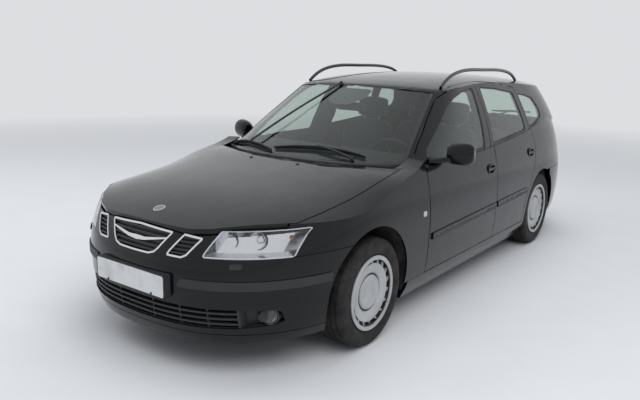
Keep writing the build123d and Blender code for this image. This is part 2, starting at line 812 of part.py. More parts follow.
def front_wheelhouse():
    """Inner wing round a front wheel, with the strut's tower."""
    room = wheel_arch(front_axle, wheelhouse_gap, front_wheelhouse_inner, 900)
    house = wheel_arch(front_axle, wheelhouse_gap + 5, front_wheelhouse_inner - 5, 868) - room
    house = keep(house) & block((300, 868), (front_arch_edge - 20, firewall_front - seat_gap), (230, 900))
    tower = Location((tower_x, station(front_axle), 660))
    house = keep(house) - Cylinder(tower_radius, 300,
                                   align=(Align.CENTER, Align.CENTER, Align.MIN)).moved(tower)
    cup = Cylinder(tower_radius + 6, tower_top - 660, align=(Align.CENTER, Align.CENTER, Align.MIN))
    cup = cup - Cylinder(tower_radius, tower_top - 666, align=(Align.CENTER, Align.CENTER, Align.MIN))
    cup = keep(cup.moved(tower)) - room - kingpin_bar(strut_stem + 0.6, kingpin_high, -60, 60)
    house = keep(house) + keep(cup)
    house = keep(house) - block((430, 480), (885, 1160), (190, 346))
    house = keep(house) & front_hull(panel_wall + seat_gap)
    house = keep(house) - (block((300, 1000), (0, front_axle), (0, bumper_top))
                           - lower_hull(bumper_wall + seat_gap))
    return biggest(keep(house))


def kingpin_bar(radius, point, low, high):
    """Cylinder along the left kingpin line, between two distances from a point of it."""
    along = (kingpin_high[0] - kingpin_low[0], 0, kingpin_high[1] - kingpin_low[1])
    plane = Plane((point[0], station(front_axle), point[1]), z_dir=along)
    bar = Cylinder(radius, high - low, align=(Align.CENTER, Align.CENTER, Align.MIN))
    return (plane * bar.moved(Location((0, 0, low))))


def hinge_post():
    """Post that carries the front door, behind the wing."""
    post = lower_hull(door_wall + shut_gap) - lower_hull(sill_wall)
    post = keep(post) & block((400, 1000), (1412, 1640), (sill_top, 884))
    post = keep(post) - upright(door_nose_radius + shut_gap, "front", 100, 1000)
    return biggest(keep(post) + hinge_leaves("front"))


def centre_post():
    """Post between the doors, inboard of both, from the sill to the roof."""
    run = [(2535, sill_top), (2700, sill_top), (2692, 960), (2742, 1395), (2632, 1395), (2542, 960)]
    prism = side_prism(run, 400, 1000)
    lower = (lower_hull(door_wall + shut_gap) - lower_hull(sill_wall)) & prism & belt_prism(0, False)
    upper = (cabin_hull(frame_wall + 20) - cabin_hull(frame_wall + 50)) & prism & belt_prism(-60, True)
    post = keep(keep(lower) + keep(upper)) - upright(door_nose_radius + shut_gap, "rear", 100, 1100)
    post = keep(post) - upright(window_frame_sweep, "rear", door_nose_top - 16, 1000)
    return biggest(keep(post) + hinge_leaves("rear"))


# ------------------------------------------------------------------ running gear


def tyre(x, distance):
    """Tyre with rounded shoulders and a bead seat."""
    w = tyre_width / 2
    profile = [(rim_radius, -w + 18), (rim_radius + 60, -w), (tyre_radius - 40, -w + 2),
               (tyre_radius - 12, -w + 14),
               (tyre_radius, -w + 36), (tyre_radius, w - 36), (tyre_radius - 12, w - 14), (tyre_radius
                                                                                           - 40, w - 2),
               (rim_radius + 60, w), (rim_radius, w - 18)]
    face = make_face(Polyline(*profile, close=True))
    ring = revolve(Plane.XZ * face, Axis.Z, 360)
    return along_x(ring).moved(Location((x, station(distance), axle_height)))


def wheel(x, distance):
    """Steel wheel with its cover: a raised middle in a groove, and slanted paddles across an open band."""
    w = tyre_width / 2
    rim = [(rim_radius, -w + 18), (rim_radius, w - 18), (rim_radius + 8, w - 10), (rim_radius + 8, w - 4),
           (rim_radius - 14, w - 4), (rim_radius - 14, -w + 18)]
    cover = [(0, 86), (90, 85), (96, 81), (99, 74), (108, 74), (114, 81), (150, 87), (rim_radius - 10, w - 16),
             (rim_radius - 10, w - 24), (150, 79), (118, 68), (60, 60), (60, hub_face), (0, hub_face)]
    ring = revolve(Plane.XZ * make_face(Polyline(*rim, close=True)), Axis.Z, 360)
    disc_shape = revolve(Plane.XZ * make_face(Polyline(*cover, close=True)), Axis.Z, 360)
    band = Cylinder(rim_radius - 14, 60) - Cylinder(paddle_root, 60)
    shape = ring + (disc_shape - band.moved(Location((0, 0, 90))))
    paddle_place = Location(((paddle_root + rim_radius - 14) / 2, 0, 84))
    paddle = Box(46, 9, 11).rotate(Axis.Z, paddle_slant).moved(paddle_place)
    paddles = [paddle.rotate(Axis.Z, 360 / paddle_count * i) for i in range(paddle_count)]
    shape = shape.fuse(*paddles)
    return along_x(keep(shape)).moved(Location((x, station(distance), axle_height)))


def front_knuckle():
    """Hub carrier, steering arm and strut, which turn together about the kingpin."""
    x = front_track / 2
    hub = disc(58, x - 150, x + hub_face - seat_gap, front_axle, axle_height)
    carrier = block((600, 645), (front_axle - 60, front_axle + 60), (250, 470))
    lug = block((676, 706), (front_axle - 22, front_axle + 22), (236, 280))
    ball = Sphere(ball_radius).moved(Location((kingpin_low[0], station(front_axle), kingpin_low[1])))
    stem = kingpin_bar(strut_stem, kingpin_low, 0, 40)
    strut = Cylinder(27, 420, align=(Align.CENTER, Align.CENTER, Align.MIN))
    spring = Cylinder(55, 155, align=(Align.CENTER, Align.CENTER, Align.MIN)).moved(Location((0, 0, 255)))
    strut_place = Location((strut_low[0], station(front_axle), strut_low[1]))
    strut = (strut + spring).rotate(Axis.Y, -strut_tilt).moved(strut_place)
    top = kingpin_bar(strut_stem, kingpin_high, -30, 8)
    arm = block((600, 640), (front_axle + 40, front_axle + 150), (300, 330))
    return biggest(keep(hub + carrier + lug + ball + stem + keep(strut) + top + arm))


def rear_axle_beam():
    """Twist beam with trailing arms, dampers and stub axles."""
    beam = block((-10, 600), (3340, 3420), (250, 320))
    trailing = block((540, 600), (3240, 3680), (250, 330))
    stub = disc(50, 560, rear_track / 2 + hub_face - seat_gap, rear_axle, axle_height)
    damper = Cylinder(28, load_floor_level - 12 - seat_gap - 305,
                      align=(Align.CENTER, Align.CENTER, Align.MIN))
    damper = damper.moved(Location((568, station(3640), 305)))
    bracket = block((545, 595), (3240, 3290), (300, load_floor_level - 132 - seat_gap))
    half = biggest(keep(beam + trailing + stub + damper + bracket))
    return whole(half)


def bonnet():
    """Bonnet with an arm to each hinge under its rear corners."""
    panel = keep(bonnet_solid(0) & bonnet_cut()) - bonnet_solid(bonnet_wall)
    for points in (mirrored_outline(centre_grille_outline), side_grille_outline, headlamp_outline):
        panel = keep(panel) - nose_prism(points, shut_gap)
    d, z = bonnet_hinge_distance, bonnet_hinge_height
    run = [(d - 95, z + 32), (d - 68, z + 32), (d - 68, z + 8), (d + 14, z + 10), (d + 14, z - 12),
           (d - 95, z - 12)]
    arm = side_prism(run, bonnet_arm_outer - 7, bonnet_arm_outer) & bonnet_solid(5)
    arm = keep(arm) - disc(bonnet_pin + seat_gap, bonnet_arm_outer - 8, bonnet_arm_outer + 1, d, z)
    return whole(biggest(keep(panel) + keep(arm)))


def tailgate():
    """Tailgate with its window, the number plate's recess and a boss for each hinge pin."""
    height = roof_line(tailgate_hinge_distance) - tailgate_hinge_depth
    end = tailgate_outline[0][0]
    half = keep(body_shell() & tailgate_cut()) - rear_window_region()
    half = keep(half) - (block((-10, 272), (4400, 4700), (738, 862)) - lower_hull(plate_recess))
    boss = disc(18, end - 34, end, tailgate_hinge_distance, height)
    bore_end = end + tailgate_nose_reach + 6
    bore = disc(tailgate_pin + seat_gap, end - 20, bore_end, tailgate_hinge_distance, height)
    return whole(biggest(keep(keep(half) + boss) - bore))


def rear_window_region(gap=0.0):
    """The tailgate's glass aperture, seen from behind."""
    run = [(0, 1010), (560, 1010), (590, 1040), (520, 1310), (480, 1338), (0, 1350)]
    face = outline(mirrored_outline(run), 30)
    if gap:
        face = offset(face, -gap)
    face = Plane((0, station(4000), 0), x_dir=(-1, 0, 0), z_dir=(0, 1, 0)) * face
    return extrude(face, 800)


def tailgate_glass():
    half = cabin_hull(glass_inset) & rear_window_region(seat_gap)
    return whole(biggest(keep(half) - cabin_hull(glass_inset + glass_wall)))


# ------------------------------------------------------------------ front details
def grille_frames():
    """Bright rims of the three grilles, with a tapered bar across the middle one."""
    rims = []
    for points in (mirrored_outline(centre_grille_outline), side_grille_outline):
        rim = nose_prism(points) - nose_prism(points, -grille_rim)
        rims.append(keep((lower_hull(-2) & keep(rim)) - lower_hull(22)))
    wing = [(0, 687), (60, 685), (218, 706), (218, 700), (60, 670), (0, 665)]
    wing = keep((lower_hull(-1) & nose_prism(mirrored_outline(wing), 0, 0)) - lower_hull(5 - seat_gap))
    wing = wing & nose_prism(mirrored_outline(centre_grille_outline), -grille_rim / 2)
    centre = whole(biggest(keep(rims[0] + keep(wing)) & block((-10, 1000), (-100, 900), (0, 1000))))
    return Compound([*centre.solids(), *both(biggest(rims[1])).solids()])


def grille_slats():
    """Level slats of the three grilles, on a plate behind them."""
    solids = []
    for points, count in ((mirrored_outline(centre_grille_outline), 5), (side_grille_outline, 5)):
        inner = nose_prism(points, -grille_rim - seat_gap)
        low = min(z for _, z in points) + 10
        high = max(z for _, z in points) - 10
        pitch = (high - low) / count
        bars = [block((-300, 600), (-60, 500),
                      (low + pitch * (i + 0.3), low + pitch * (i + 0.72))) for i in range(count)]
        shelf = keep((lower_hull(5) & inner) - lower_hull(22)) & keep(bars[0].fuse(*bars[1:]))
        back = keep((lower_hull(22) & inner) - lower_hull(28))
        shape = keep(keep(shelf) + back)
        solids.append(shape)
    centre = keep(solids[0] & block((0, 1000), (-100, 900), (0, 1000)))
    return Compound([*whole(biggest(centre)).solids(), *both(biggest(solids[1])).solids()])


def headlamp_housing():
    region = nose_prism(headlamp_outline, 0)
    shell = keep((front_hull(5) & region) - front_hull(90))
    inner = keep(front_hull(0) & nose_prism(headlamp_outline, -5)) - front_hull(80)
    return biggest(keep(shell - keep(inner)))


def headlamp_lens():
    region = nose_prism(headlamp_outline, 0)
    return biggest(keep((front_hull(1) & region) - front_hull(4.7)))


def tail_lamp():
    return biggest(keep((lower_hull(2) - lower_hull(door_wall)) & lamp_region(-seat_gap)
                        & block((0, 1000), (4300, 4700), (705, belt_line(4400) - 1))))


def lower_grille():
    """Bars across the lower intake on a plate behind them, with a fog lamp in a pocket at each end."""
    run = mirrored_outline(intake_outline)
    intake = nose_prism(run, -seat_gap) & block((-1, 800), (-60, 700), (200, 600))
    middle = block((-1, 574), (-60, 700), (200, 600))
    bars = [block((-300, 700), (-60, 500), (z, z + 10)) for z in (300, 328, 356)]
    bars = keep((lower_hull(6) & intake & middle) - lower_hull(41)) & keep(bars[0].fuse(*bars[1:]))
    ribs = [block((x - 4, x + 4), (-60, 500), (270, 392)) for x in (130, 300, 440)]
    ribs = keep((lower_hull(12) & intake & middle) - lower_hull(41)) & keep(ribs[0].fuse(*ribs[1:]))
    end = keep((lower_hull(4) & intake) - lower_hull(41)) & block((570, 578), (-60, 500), (270, 392))
    back = keep((lower_hull(40) & intake) - lower_hull(46))
    rim = keep((lower_hull(bumper_wall + seat_gap) & nose_prism(run, 12))
               - lower_hull(46)) - nose_prism(run, -5)
    lamp = Cylinder(34, 120, rotation=(90, 0, 0)).moved(Location((668, station(300), 335)))
    lamp = keep(lamp & lower_hull(14)) - lower_hull(41)
    parts = [bars, ribs, end, rim, lamp]
    return whole(biggest(keep(back.fuse(*[keep(shape) for shape in parts]))
                         & block((-1, 900), (-60, 900), (0, 900))))


def bumper_strips():
    """Satin strips along the front bumper, and a lamp washer's cap above each."""
    strip = nose_prism([(296, 484), (330, 529), (900, 529), (900, 483)], 0, 12)
    strip = strip & block((0, 1000), (-60, strip_end), (0, 1000))
    strip = keep((lower_hull(-7) & keep(strip)) - lower_hull(-seat_gap))
    cap = nose_prism([(548, 592), (548, 618), (592, 618), (592, 592)], 0, 5)
    cap = keep((lower_hull(-6) & cap) - lower_hull(-seat_gap))
    return Compound([*both(biggest(strip)).solids(), *both(biggest(cap)).solids()])


def carrier():
    """Panel behind the grilles for the lamps, latch and cooler, with the bumper's beam in front."""
    shape = block((-1, 400), (190, 250), (680, 722)) + block((396, 440), (190, 262),
                                                             (280, 700)) + block((-1, 440), (190, 250),
                                                                                 (210, 250))
    cooler = block((-1, 340), (196, 240), (250, 690))
    shape = keep((shape + cooler) & lower_hull(panel_wall + 90))
    beam = lower_hull(bumper_wall + seat_gap) - lower_hull(bumper_wall + 40)
    beam = beam & block((-1, 560), (-50, 400), (520, 600))
    can = block((396, 440), (0, 200), (530, 590)) & lower_hull(bumper_wall + 20)
    return keep(shape + keep(beam) + keep(can))


def engine():
    return fillet(block((-280, 280), (330, engine_rear), (280.3, 740)).edges(), 20)


def front_frame():
    """Carrier, side rails, crossmember, lower arms and the steering rack's housing, as one welded frame."""
    rail = block((396, front_wheelhouse_inner - 5 - seat_gap), (255, firewall_front - seat_gap), (280, 400))
    rail = rail - block((370, 480), (rack_distance - 29, rack_distance + 29), (270, 345))
    cross = block((-1, 456), (880, 960), (200, 280))
    legs = block((396, 456), (880, 960), (279, 290))
    run = [(430, 890), (430, 952), (690, 952), (700, 934), (690, 916)]
    arm = plan_prism(run, 203, 223) + kingpin_bar(arm_boss, kingpin_low, -18, 9)
    cup = Sphere(ball_radius + 0.5).moved(Location((kingpin_low[0], station(front_axle), kingpin_low[1])))
    arm = keep(arm) - cup - kingpin_bar(strut_stem + 3, kingpin_low, 0, 30)
    housing = disc(26, -1, 300, rack_distance, rack_height)
    bracket = block((200, 240), (950, 1110), (262, 279)) + block((200, 240), (990, 1110), (262, 300))
    half = carrier() + rail + cross + legs + keep(arm) + housing + bracket
    return whole(biggest(keep(half - disc(rack_radius + 0.5, -2, 301, rack_distance, rack_height))))


def exhaust():
    """Pipe under the tunnel with its hangers, a silencer under the load floor and the tail pipe."""
    run = FilletPolyline((0, station(960), 330), (0, station(1030), 215), (0, station(4150), 215), radius=30)
    pipe = sweep(Plane(run @ 0, z_dir=run % 0) * Circle(24), run)
    pipe = pipe & block((-50, 50), (engine_rear, 4160), (0, 400))
    silencer = fillet(block((-270, 270), (4140, 4360), (190, 320)).edges(), 24)
    tail = Cylinder(22, 290, rotation=(90, 0, 0)).moved(Location((-210, station(4495), 208)))
    hangers = [block((-10, 10), (d - 10, d + 10), (225, floor_level + 138 - seat_gap)) for d in (1800, 2700)]
    hangers += [block((x - 8, x + 8), (4242, 4258),
                      (300, load_floor_level - 12 - seat_gap)) for x in (-220, 220)]
    return biggest(keep(pipe.fuse(silencer, tail, *hangers)))


def dashboard():
    run = [(1400, 640), (1400, 905), (1520, 940), (1720, 972), (1800, 960), (1850, 900), (1846, 820),
           (1760, 700), (1600, 640)]
    body = side_prism(run, -5, 680, 12)
    low = keep(body & lower_hull(door_wall + 24)) - block((-10, 1000), (0, 1570), (848, 1200))
    high = keep(body & cabin_hull(frame_wall + 6)) & block((-10, 1000), (1452, 2000), (882, 1200))
    bracket = block((300, 340), (firewall_front + 12 + seat_gap, 1410), (700, 760))
    half = keep(keep(low) + keep(high) + bracket)
    column = steering_wheel_place() * Cylinder(30, 220, align=(Align.CENTER, Align.CENTER, Align.MAX))
    column = keep(column - steering_wheel_place() * Cylinder(60, 41))
    return keep(whole(biggest(half)) + column)


def front_seat(x):
    cushion = block((x - 250, x + 250), (2120, 2620), (330, 470))
    back = side_prism([(2560, 470), (2680, 450), (2850, 1060), (2760, 1080)], x - 240, x + 240, 30)
    head = side_prism([(2770, 1095), (2850, 1090), (2880, 1240), (2810, 1250)], x - 130, x + 130, 25)
    stem = side_prism([(2795, 1040), (2825, 1040), (2850, 1120), (2820, 1120)], x - 20, x + 20)
    base = block((x - 200, x + 200), (2200, 2600), (floor_level + floor_wall, 331))
    return keep(cushion + back + head + stem + base)


def rear_seat():
    cushion = block((-1, 588), (3035, load_step - 13), (load_floor_level - 119.7, 510))
    back = side_prism([(3390, 509), (3466, 509), (3640, 1000), (3560, 1010)], -1, 588, 20)
    return whole(keep((cushion + back) & lower_hull(door_wall + 20)))


def mirror():
    """Mirror housing on a swept foot, at the front corner of the front window."""
    plane = Plane((846, station(1800), 1000), x_dir=(0, 1, 0), z_dir=(1, 0.28, 0.02))
    sections = [(0, 40, 46, -8), (45, 56, 66, -2), (110, 60, 71, 2), (150, 52, 62, 3), (168, 34, 42, 3)]
    faces = [plane.offset(o) * Location((shift, shift / 2, 0)) * Ellipse(a, b) for o, a, b, shift in sections]
    shell = loft(faces)
    foot = loft([plane.offset(-90) * Location((-70, -45, 0)) * RectangleRounded(120, 34, 15),
                 plane.offset(-28) * Location((-44, -38, 0)) * RectangleRounded(84, 34, 15),
                 plane.offset(50) * Location((-4, -30, 0)) * RectangleRounded(60, 34, 15)])
    shape = keep(shell + foot) - cabin_hull(-seat_gap)
    return biggest(keep(shape) - (lower_hull(-seat_gap) & belt_prism(seat_gap, False)))


def roof_rail():
    path = Spline((570, station(2200), 1385), (570, station(2330), 1455), (570, station(2500), 1492),
                  (570, station(2900), 1500),
                  (570, station(3370), 1482), (570, station(3500), 1455), (570, station(3600), 1405))
    profile = Plane(path @ 0, z_dir=path % 0) * Ellipse(13, 11)
    rail = sweep(profile, path)
    return biggest(keep(rail - cabin_hull(-seat_gap)))


def steering_wheel_place():
    return Plane((360, station(1985), 860), z_dir=(0, cos(radians(24)), sin(radians(24))))


def steering_wheel():
    plane = steering_wheel_place()
    rim = plane * Torus(182, 15)
    hub = plane * Cylinder(48, 40.4)
    spokes = plane * Box(350, 34, 14)
    return keep(rim + hub + spokes)


def steering_rack():
    return Cylinder(rack_radius, 1060,
                    rotation=(0, 90, 0)).moved(Location((0, station(rack_distance), rack_height)))


def cowl():
    """Tray under the bonnet's rear edge, with an upstand along the foot of the windscreen."""
    foot = [(0, 1196), (200, 1210), (400, 1262), (560, 1344), (690, 1440)]
    front = [(690, 1400), (560, 1310), (400, 1228), (200, 1176), (0, 1162)]
    tray = plan_prism(foot + front, 856, 868)
    rear = [(x, d - 10) for x, d in reversed(foot)]
    upstand = plan_prism(foot + rear, 860, screen_foot - seat_gap)
    return whole(biggest(keep(tray + upstand)))


def together(*shapes):
    """One node of several solids that stand clear of each other or meet face to face."""
    return Compound([solid for shape in shapes for solid in shape.solids()])


def make_parts():
    yield "floor_pan", together(floor_pan(), both(front_wheelhouse()))
    yield "side_frames", both(left_side_frame())
    yield "body_posts", together(both(hinge_post()), both(centre_post()))
    yield "roof", roof()
    yield "front_fenders", both(front_fender())
    yield "bumpers", together(front_bumper(), rear_bumper())
    yield "bumper_strips", bumper_strips()
    yield "grille_frames", grille_frames()
    yield "grille_slats", grille_slats()
    yield "lower_grille", lower_grille()
    yield "headlamps", both(headlamp_housing())
    yield "headlamp_lenses", both(headlamp_lens())
    yield "tail_lamps", both(tail_lamp())
    yield "fixed_glass", together(windscreen(), both(side_glass(quarter_window)))
    yield "roof_rails", both(roof_rail())
    yield "cowl", cowl()
    yield "front_frame", front_frame()
    yield "powertrain", together(engine(), exhaust())
    yield "rear_axle", rear_axle_beam()
    yield "dashboard", dashboard()
    yield "seats", together(front_seat(370), front_seat(-370), rear_seat())
    yield "bonnet", bonnet()
    yield "tailgate", tailgate()
    yield "tailgate_glass", tailgate_glass()
    doors = {
        "front": (side_door("front", front_window, rub_strip(1579, 2590), (2496, 812)),
                  side_glass(front_window)),
        "rear": (side_door("rear", rear_window, rub_strip(2618, 3236), (3326, 842)), side_glass(rear_window)),
    }
    for place, (door, pane) in doors.items():
        yield f"{place}_left_door", door
        yield f"{place}_right_door", other_side(door)
        yield f"{place}_left_glass", pane
        yield f"{place}_right_glass", other_side(pane)
    yield "left_mirror", mirror()
    yield "right_mirror", other_side(mirror())
    knuckle = front_knuckle()
    yield "left_knuckle", knuckle
    yield "right_knuckle", other_side(knuckle)
    yield "steering_rack", steering_rack()
    yield "steering_wheel", steering_wheel()
    for place, track, axle in (("front", front_track, front_axle), ("rear", rear_track, rear_axle)):
        yield f"{place}_left_tyre", tyre(track / 2, axle)
        yield f"{place}_right_tyre", other_side(tyre(track / 2, axle))
        yield f"{place}_left_wheel", wheel(track / 2, axle)
        yield f"{place}_right_wheel", other_side(wheel(track / 2, axle))


if __name__ == "__main__":
    os.makedirs("parts", exist_ok=True)
    for name, shape in make_parts():
        export_step(shape.moved(Location((0, 0, -ground))), f"parts/{name}.step", write_pcurves=False)
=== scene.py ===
"""Looks of the station wagon: finishes, trim, tread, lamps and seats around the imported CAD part."""

import math

import bmesh
import bpy
from mathutils import Matrix, Vector
from mathutils.bvhtree import BVHTree
from mathutils.geometry import delaunay_2d_cdt


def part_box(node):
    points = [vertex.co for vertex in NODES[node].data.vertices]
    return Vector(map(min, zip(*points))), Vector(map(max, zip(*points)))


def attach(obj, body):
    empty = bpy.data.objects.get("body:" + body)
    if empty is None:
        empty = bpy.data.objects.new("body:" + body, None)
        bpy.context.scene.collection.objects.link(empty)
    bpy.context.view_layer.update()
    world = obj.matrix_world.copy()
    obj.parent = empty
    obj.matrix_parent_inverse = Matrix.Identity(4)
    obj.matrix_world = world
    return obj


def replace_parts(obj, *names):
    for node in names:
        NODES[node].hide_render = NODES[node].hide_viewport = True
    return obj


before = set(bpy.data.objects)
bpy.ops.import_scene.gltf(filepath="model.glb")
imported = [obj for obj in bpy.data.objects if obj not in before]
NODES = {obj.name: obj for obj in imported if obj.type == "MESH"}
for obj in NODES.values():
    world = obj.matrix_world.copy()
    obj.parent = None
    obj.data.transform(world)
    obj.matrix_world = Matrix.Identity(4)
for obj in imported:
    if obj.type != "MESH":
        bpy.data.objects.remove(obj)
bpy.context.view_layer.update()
SIDES = {"left": 1, "right": -1}


def middle(node):
    """Middle of a node's box."""
    low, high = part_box(node)
    return (Vector(low) + Vector(high)) / 2


# places along the car are measured in metres behind its nose
NOSE_TO_AXLE = 0.934
NOSE = middle("front_left_wheel").y - NOSE_TO_AXLE


def along(distance):
    """Place along the car of a point this far behind its nose."""
    return NOSE + distance


# ---------------------------------------------------------------- mesh tools


def rounded(points, radius, step, closed=True):
    """A path through points with its corners rounded, in short steps; points are 2-D or 3-D."""
    points = [Vector(p) for p in points]
    count = len(points)
    path = []
    for i, corner in enumerate(points):
        if not closed and i in (0, count - 1):
            path.append(corner)
            continue
        before, after = points[i - 1], points[(i + 1) % count]
        reach = min(radius, (before - corner).length * 0.49, (after - corner).length * 0.49)
        start = corner + (before - corner).normalized() * reach
        end = corner + (after - corner).normalized() * reach
        for k in range(5):
            t = k / 4
            path.append(start * (1 - t) ** 2 + corner * 2 * t * (1 - t) + end * t**2)
    return divided(path, step, closed)


def divided(path, step, closed=True):
    """The same path with no stretch longer than step."""
    result = []
    ends = path[1:] + path[:1] if closed else path[1:]
    for a, b in zip(path, ends):
        if (b - a).length < 1e-6:
            continue
        pieces = max(1, math.ceil((b - a).length / step))
        result += [a.lerp(b, k / pieces) for k in range(pieces)]
    return result if closed else result + [path[-1]]


def inside(point, outline):
    """Whether a 2-D point lies inside a closed outline."""
    hit = False
    for a, b in zip(outline, outline[1:] + outline[:1]):
        if (a.y > point.y) != (b.y > point.y):
            hit ^= point.x < a.x + (point.y - a.y) * (b.x - a.x) / (b.y - a.y)
    return hit


def filled(outline, step):
    """Triangles over a closed 2-D outline, with points inside it about a step apart."""
    outline = [Vector(p) for p in outline]
    lows = [min(p[k] for p in outline) for k in (0, 1)]
    highs = [max(p[k] for p in outline) for k in (0, 1)]
    points = list(outline)
    for i in range(1, int((highs[0] - lows[0]) / step) + 1):
        for j in range(1, int((highs[1] - lows[1]) / step) + 1):
            point = Vector((lows[0] + step * i, lows[1] + step * (j + 0.5 * (i % 2))))
            clear = min((point - p).length for p in outline) > step * 0.45
            if clear and inside(point, outline):
                points.append(point)
    edges = [(i, (i + 1) % len(outline)) for i in range(len(outline))]
    made = delaunay_2d_cdt(points, edges, [list(range(len(outline)))], 1, 1e-7)
    return [Vector(p) for p in made[0]], [tuple(face) for face in made[2]]


class Skin:
    """The outer faces of some CAD nodes, for laying trim on."""

    VIEWS = {
        "left": (lambda a, b: (3.0, a, b), (-1, 0, 0)),
        "front": (lambda a, b: (a, -4.0, b), (0, 1, 0)),
        "back": (lambda a, b: (a, 4.0, b), (0, -1, 0)),
        "top": (lambda a, b: (a, b, 3.0), (0, 0, -1)),
    }

    def __init__(self, *names):
        points, faces = [], []
        for name in names:
            mesh = NODES[name].data
            faces += [tuple(i + len(points) for i in face.vertices) for face in mesh.polygons]
            points += [NODES[name].matrix_world @ v.co for v in mesh.vertices]
        self.tree = BVHTree.FromPolygons(points, faces)

    def under(self, view, a, b):
        """The place that this view sees at (a, b), and which way the skin faces there."""
        start, way = self.VIEWS[view]
        hit, normal, _, _ = self.tree.ray_cast(Vector(start(a, b)), Vector(way))
        if hit is None:
            hit, normal, _, _ = self.tree.find_nearest(Vector(start(a, b)))
        return hit, -normal if normal.dot(Vector(way)) > 0 else normal

    def shows(self, view, a, b):
        """Whether this view sees the skin at (a, b)."""
        start, way = self.VIEWS[view]
        return self.tree.ray_cast(Vector(start(a, b)), Vector(way), 3.3)[0] is not None

    def laid(self, view, path, lift=0.0):
        """A 2-D path laid on the skin, and the skin's direction at each point."""
        hits = [self.under(view, p[0], p[1]) for p in path]
        return [hit + normal * lift for hit, normal in hits], [normal for _, normal in hits]

    def panel(self, view, outline, lift, thickness, step=0.03):
        """A sheet that follows the skin inside an outline."""
        points, faces = filled(outline, step)
        hits = [self.under(view, p[0], p[1]) for p in points]
        return thickened([h + n * lift for h, n in hits], [n for _, n in hits], faces, thickness)


def thickened(points, ups, faces, thickness):
    """A closed sheet from its outer points: the back lies this far behind."""
    count = len(points)
    used = {}
    for face in faces:
        for a, b in zip(face, face[1:] + face[:1]):
            used[(min(a, b), max(a, b))] = used.get((min(a, b), max(a, b)), 0) + 1
    walls = [(a, b, b + count, a + count) for (a, b), times in used.items() if times == 1]
    back = [p - u * thickness for p, u in zip(points, ups)]
    return points + back, list(faces) + [tuple(i + count for i in reversed(f)) for f in faces] + walls


def joined(near, far, faces):
    """A closed solid between two matching sheets of points."""
    return near + far, thickened(near, near, faces, 0)[1]


def swept(path, ups, profile, closed=False):
    """A closed profile, drawn as (across, up), carried along a path."""
    points, faces = [], []
    count, size = len(path), len(profile)
    for i, place in enumerate(path):
        before = path[i - 1] if closed or i else path[i]
        after = path[(i + 1) % count] if closed or i < count - 1 else path[i]
        tangent = (after - before).normalized()
        across = tangent.cross(ups[i]).normalized()
        up = across.cross(tangent)
        points += [place + across * a + up * b for a, b in profile]
    for i in range(count if closed else count - 1):
        j = (i + 1) % count
        for k in range(size):
            m = (k + 1) % size
            faces.append((i * size + k, i * size + m, j * size + m, j * size + k))
    if not closed:
        faces += [tuple(range(size)), tuple(reversed(range((count - 1) * size, count * size)))]
    return points, faces


def bead(width, height, sink=0.001):
    """Profile of a low rounded strip that sits a little in what carries it."""
    half = width / 2
    return [(-half, -sink), (-half, height * 0.5), (-half * 0.72, height * 0.9), (0, height),
            (half * 0.72, height * 0.9), (half, height * 0.5), (half, -sink)]


def ring(radius, sides):
    """Round profile for a rod."""
    angles = [2 * math.pi * k / sides for k in range(sides)]
    return [(radius * math.cos(angle), radius * math.sin(angle)) for angle in angles]


def turned(profile, centre, axis, steps=48):
    """A solid of revolution from (radius, height) points; ends on the axis close it."""
    spin = Vector(axis).to_track_quat("Z", "Y")
    points, faces, rows = [], [], []
    for radius, height in profile:
        if radius < 1e-6:
            rows.append([len(points)] * steps)
            points.append(Vector(centre) + spin @ Vector((0, 0, height)))
            continue
        rows.append(list(range(len(points), len(points) + steps)))
        for k in range(steps):
            angle = 2 * math.pi * k / steps
            spot = Vector((radius * math.cos(angle), radius * math.sin(angle), height))
            points.append(Vector(centre) + spin @ spot)
    closed = profile[0][0] > 1e-6 and profile[-1][0] > 1e-6
    pairs = list(zip(rows, rows[1:])) + ([(rows[-1], rows[0])] if closed else [])
    for lower, upper in pairs:
        for k in range(steps):
            m = (k + 1) % steps
            face = [lower[k], lower[m], upper[m], upper[k]]
            face = [v for i, v in enumerate(face) if v != face[i - 1]]
            if len(face) > 2:
                faces.append(tuple(face))
    return points, faces


def merged(*parts):
    """Several meshes as one."""
    points, faces = [], []
    for more, sides in parts:
        faces += [tuple(i + len(points) for i in side) for side in sides]
        points += more
    return points, faces


def mirrored(part):
    """The same mesh on the car's other side."""
    points, faces = part
    return [Vector((-p.x, p.y, p.z)) for p in points], [tuple(reversed(f)) for f in faces]


def piece(name, part, finish, body, smooth=35.0, bevel=0.0):
    """One visible piece from a mesh: its finish, the body that it rides on, and its crisp edges."""
    points, faces = part
    mesh = bpy.data.meshes.new(name)
    mesh.from_pydata([tuple(p) for p in points], [], [list(f) for f in faces])
    shape = bmesh.new()
    shape.from_mesh(mesh)
    bmesh.ops.remove_doubles(shape, verts=shape.verts, dist=1e-6)
    bmesh.ops.recalc_face_normals(shape, faces=shape.faces)
    shape.to_mesh(mesh)
    shape.free()
    made = bpy.data.objects.new(name, mesh)
    bpy.context.scene.collection.objects.link(made)
    mesh.materials.append(FINISHES[finish])
    for face in mesh.polygons:
        face.use_smooth = True
    mesh.set_sharp_from_angle(angle=math.radians(smooth))
    if bevel:
        rim = made.modifiers.new("rim", "BEVEL")
        rim.width = bevel
        rim.segments = 2
        rim.limit_method = "ANGLE"
        rim.angle_limit = math.radians(smooth)
    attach(made, body)
    return made


def pair(name, part, finish, body, **options):
    """A left piece and its mirror image; a body named with {side} differs between them."""
    for side, sign in SIDES.items():
        shape = part if sign > 0 else mirrored(part)
        piece(f"{side}_{name}", shape, finish, body.format(side=side), **options)


# ---------------------------------------------------------------- materials


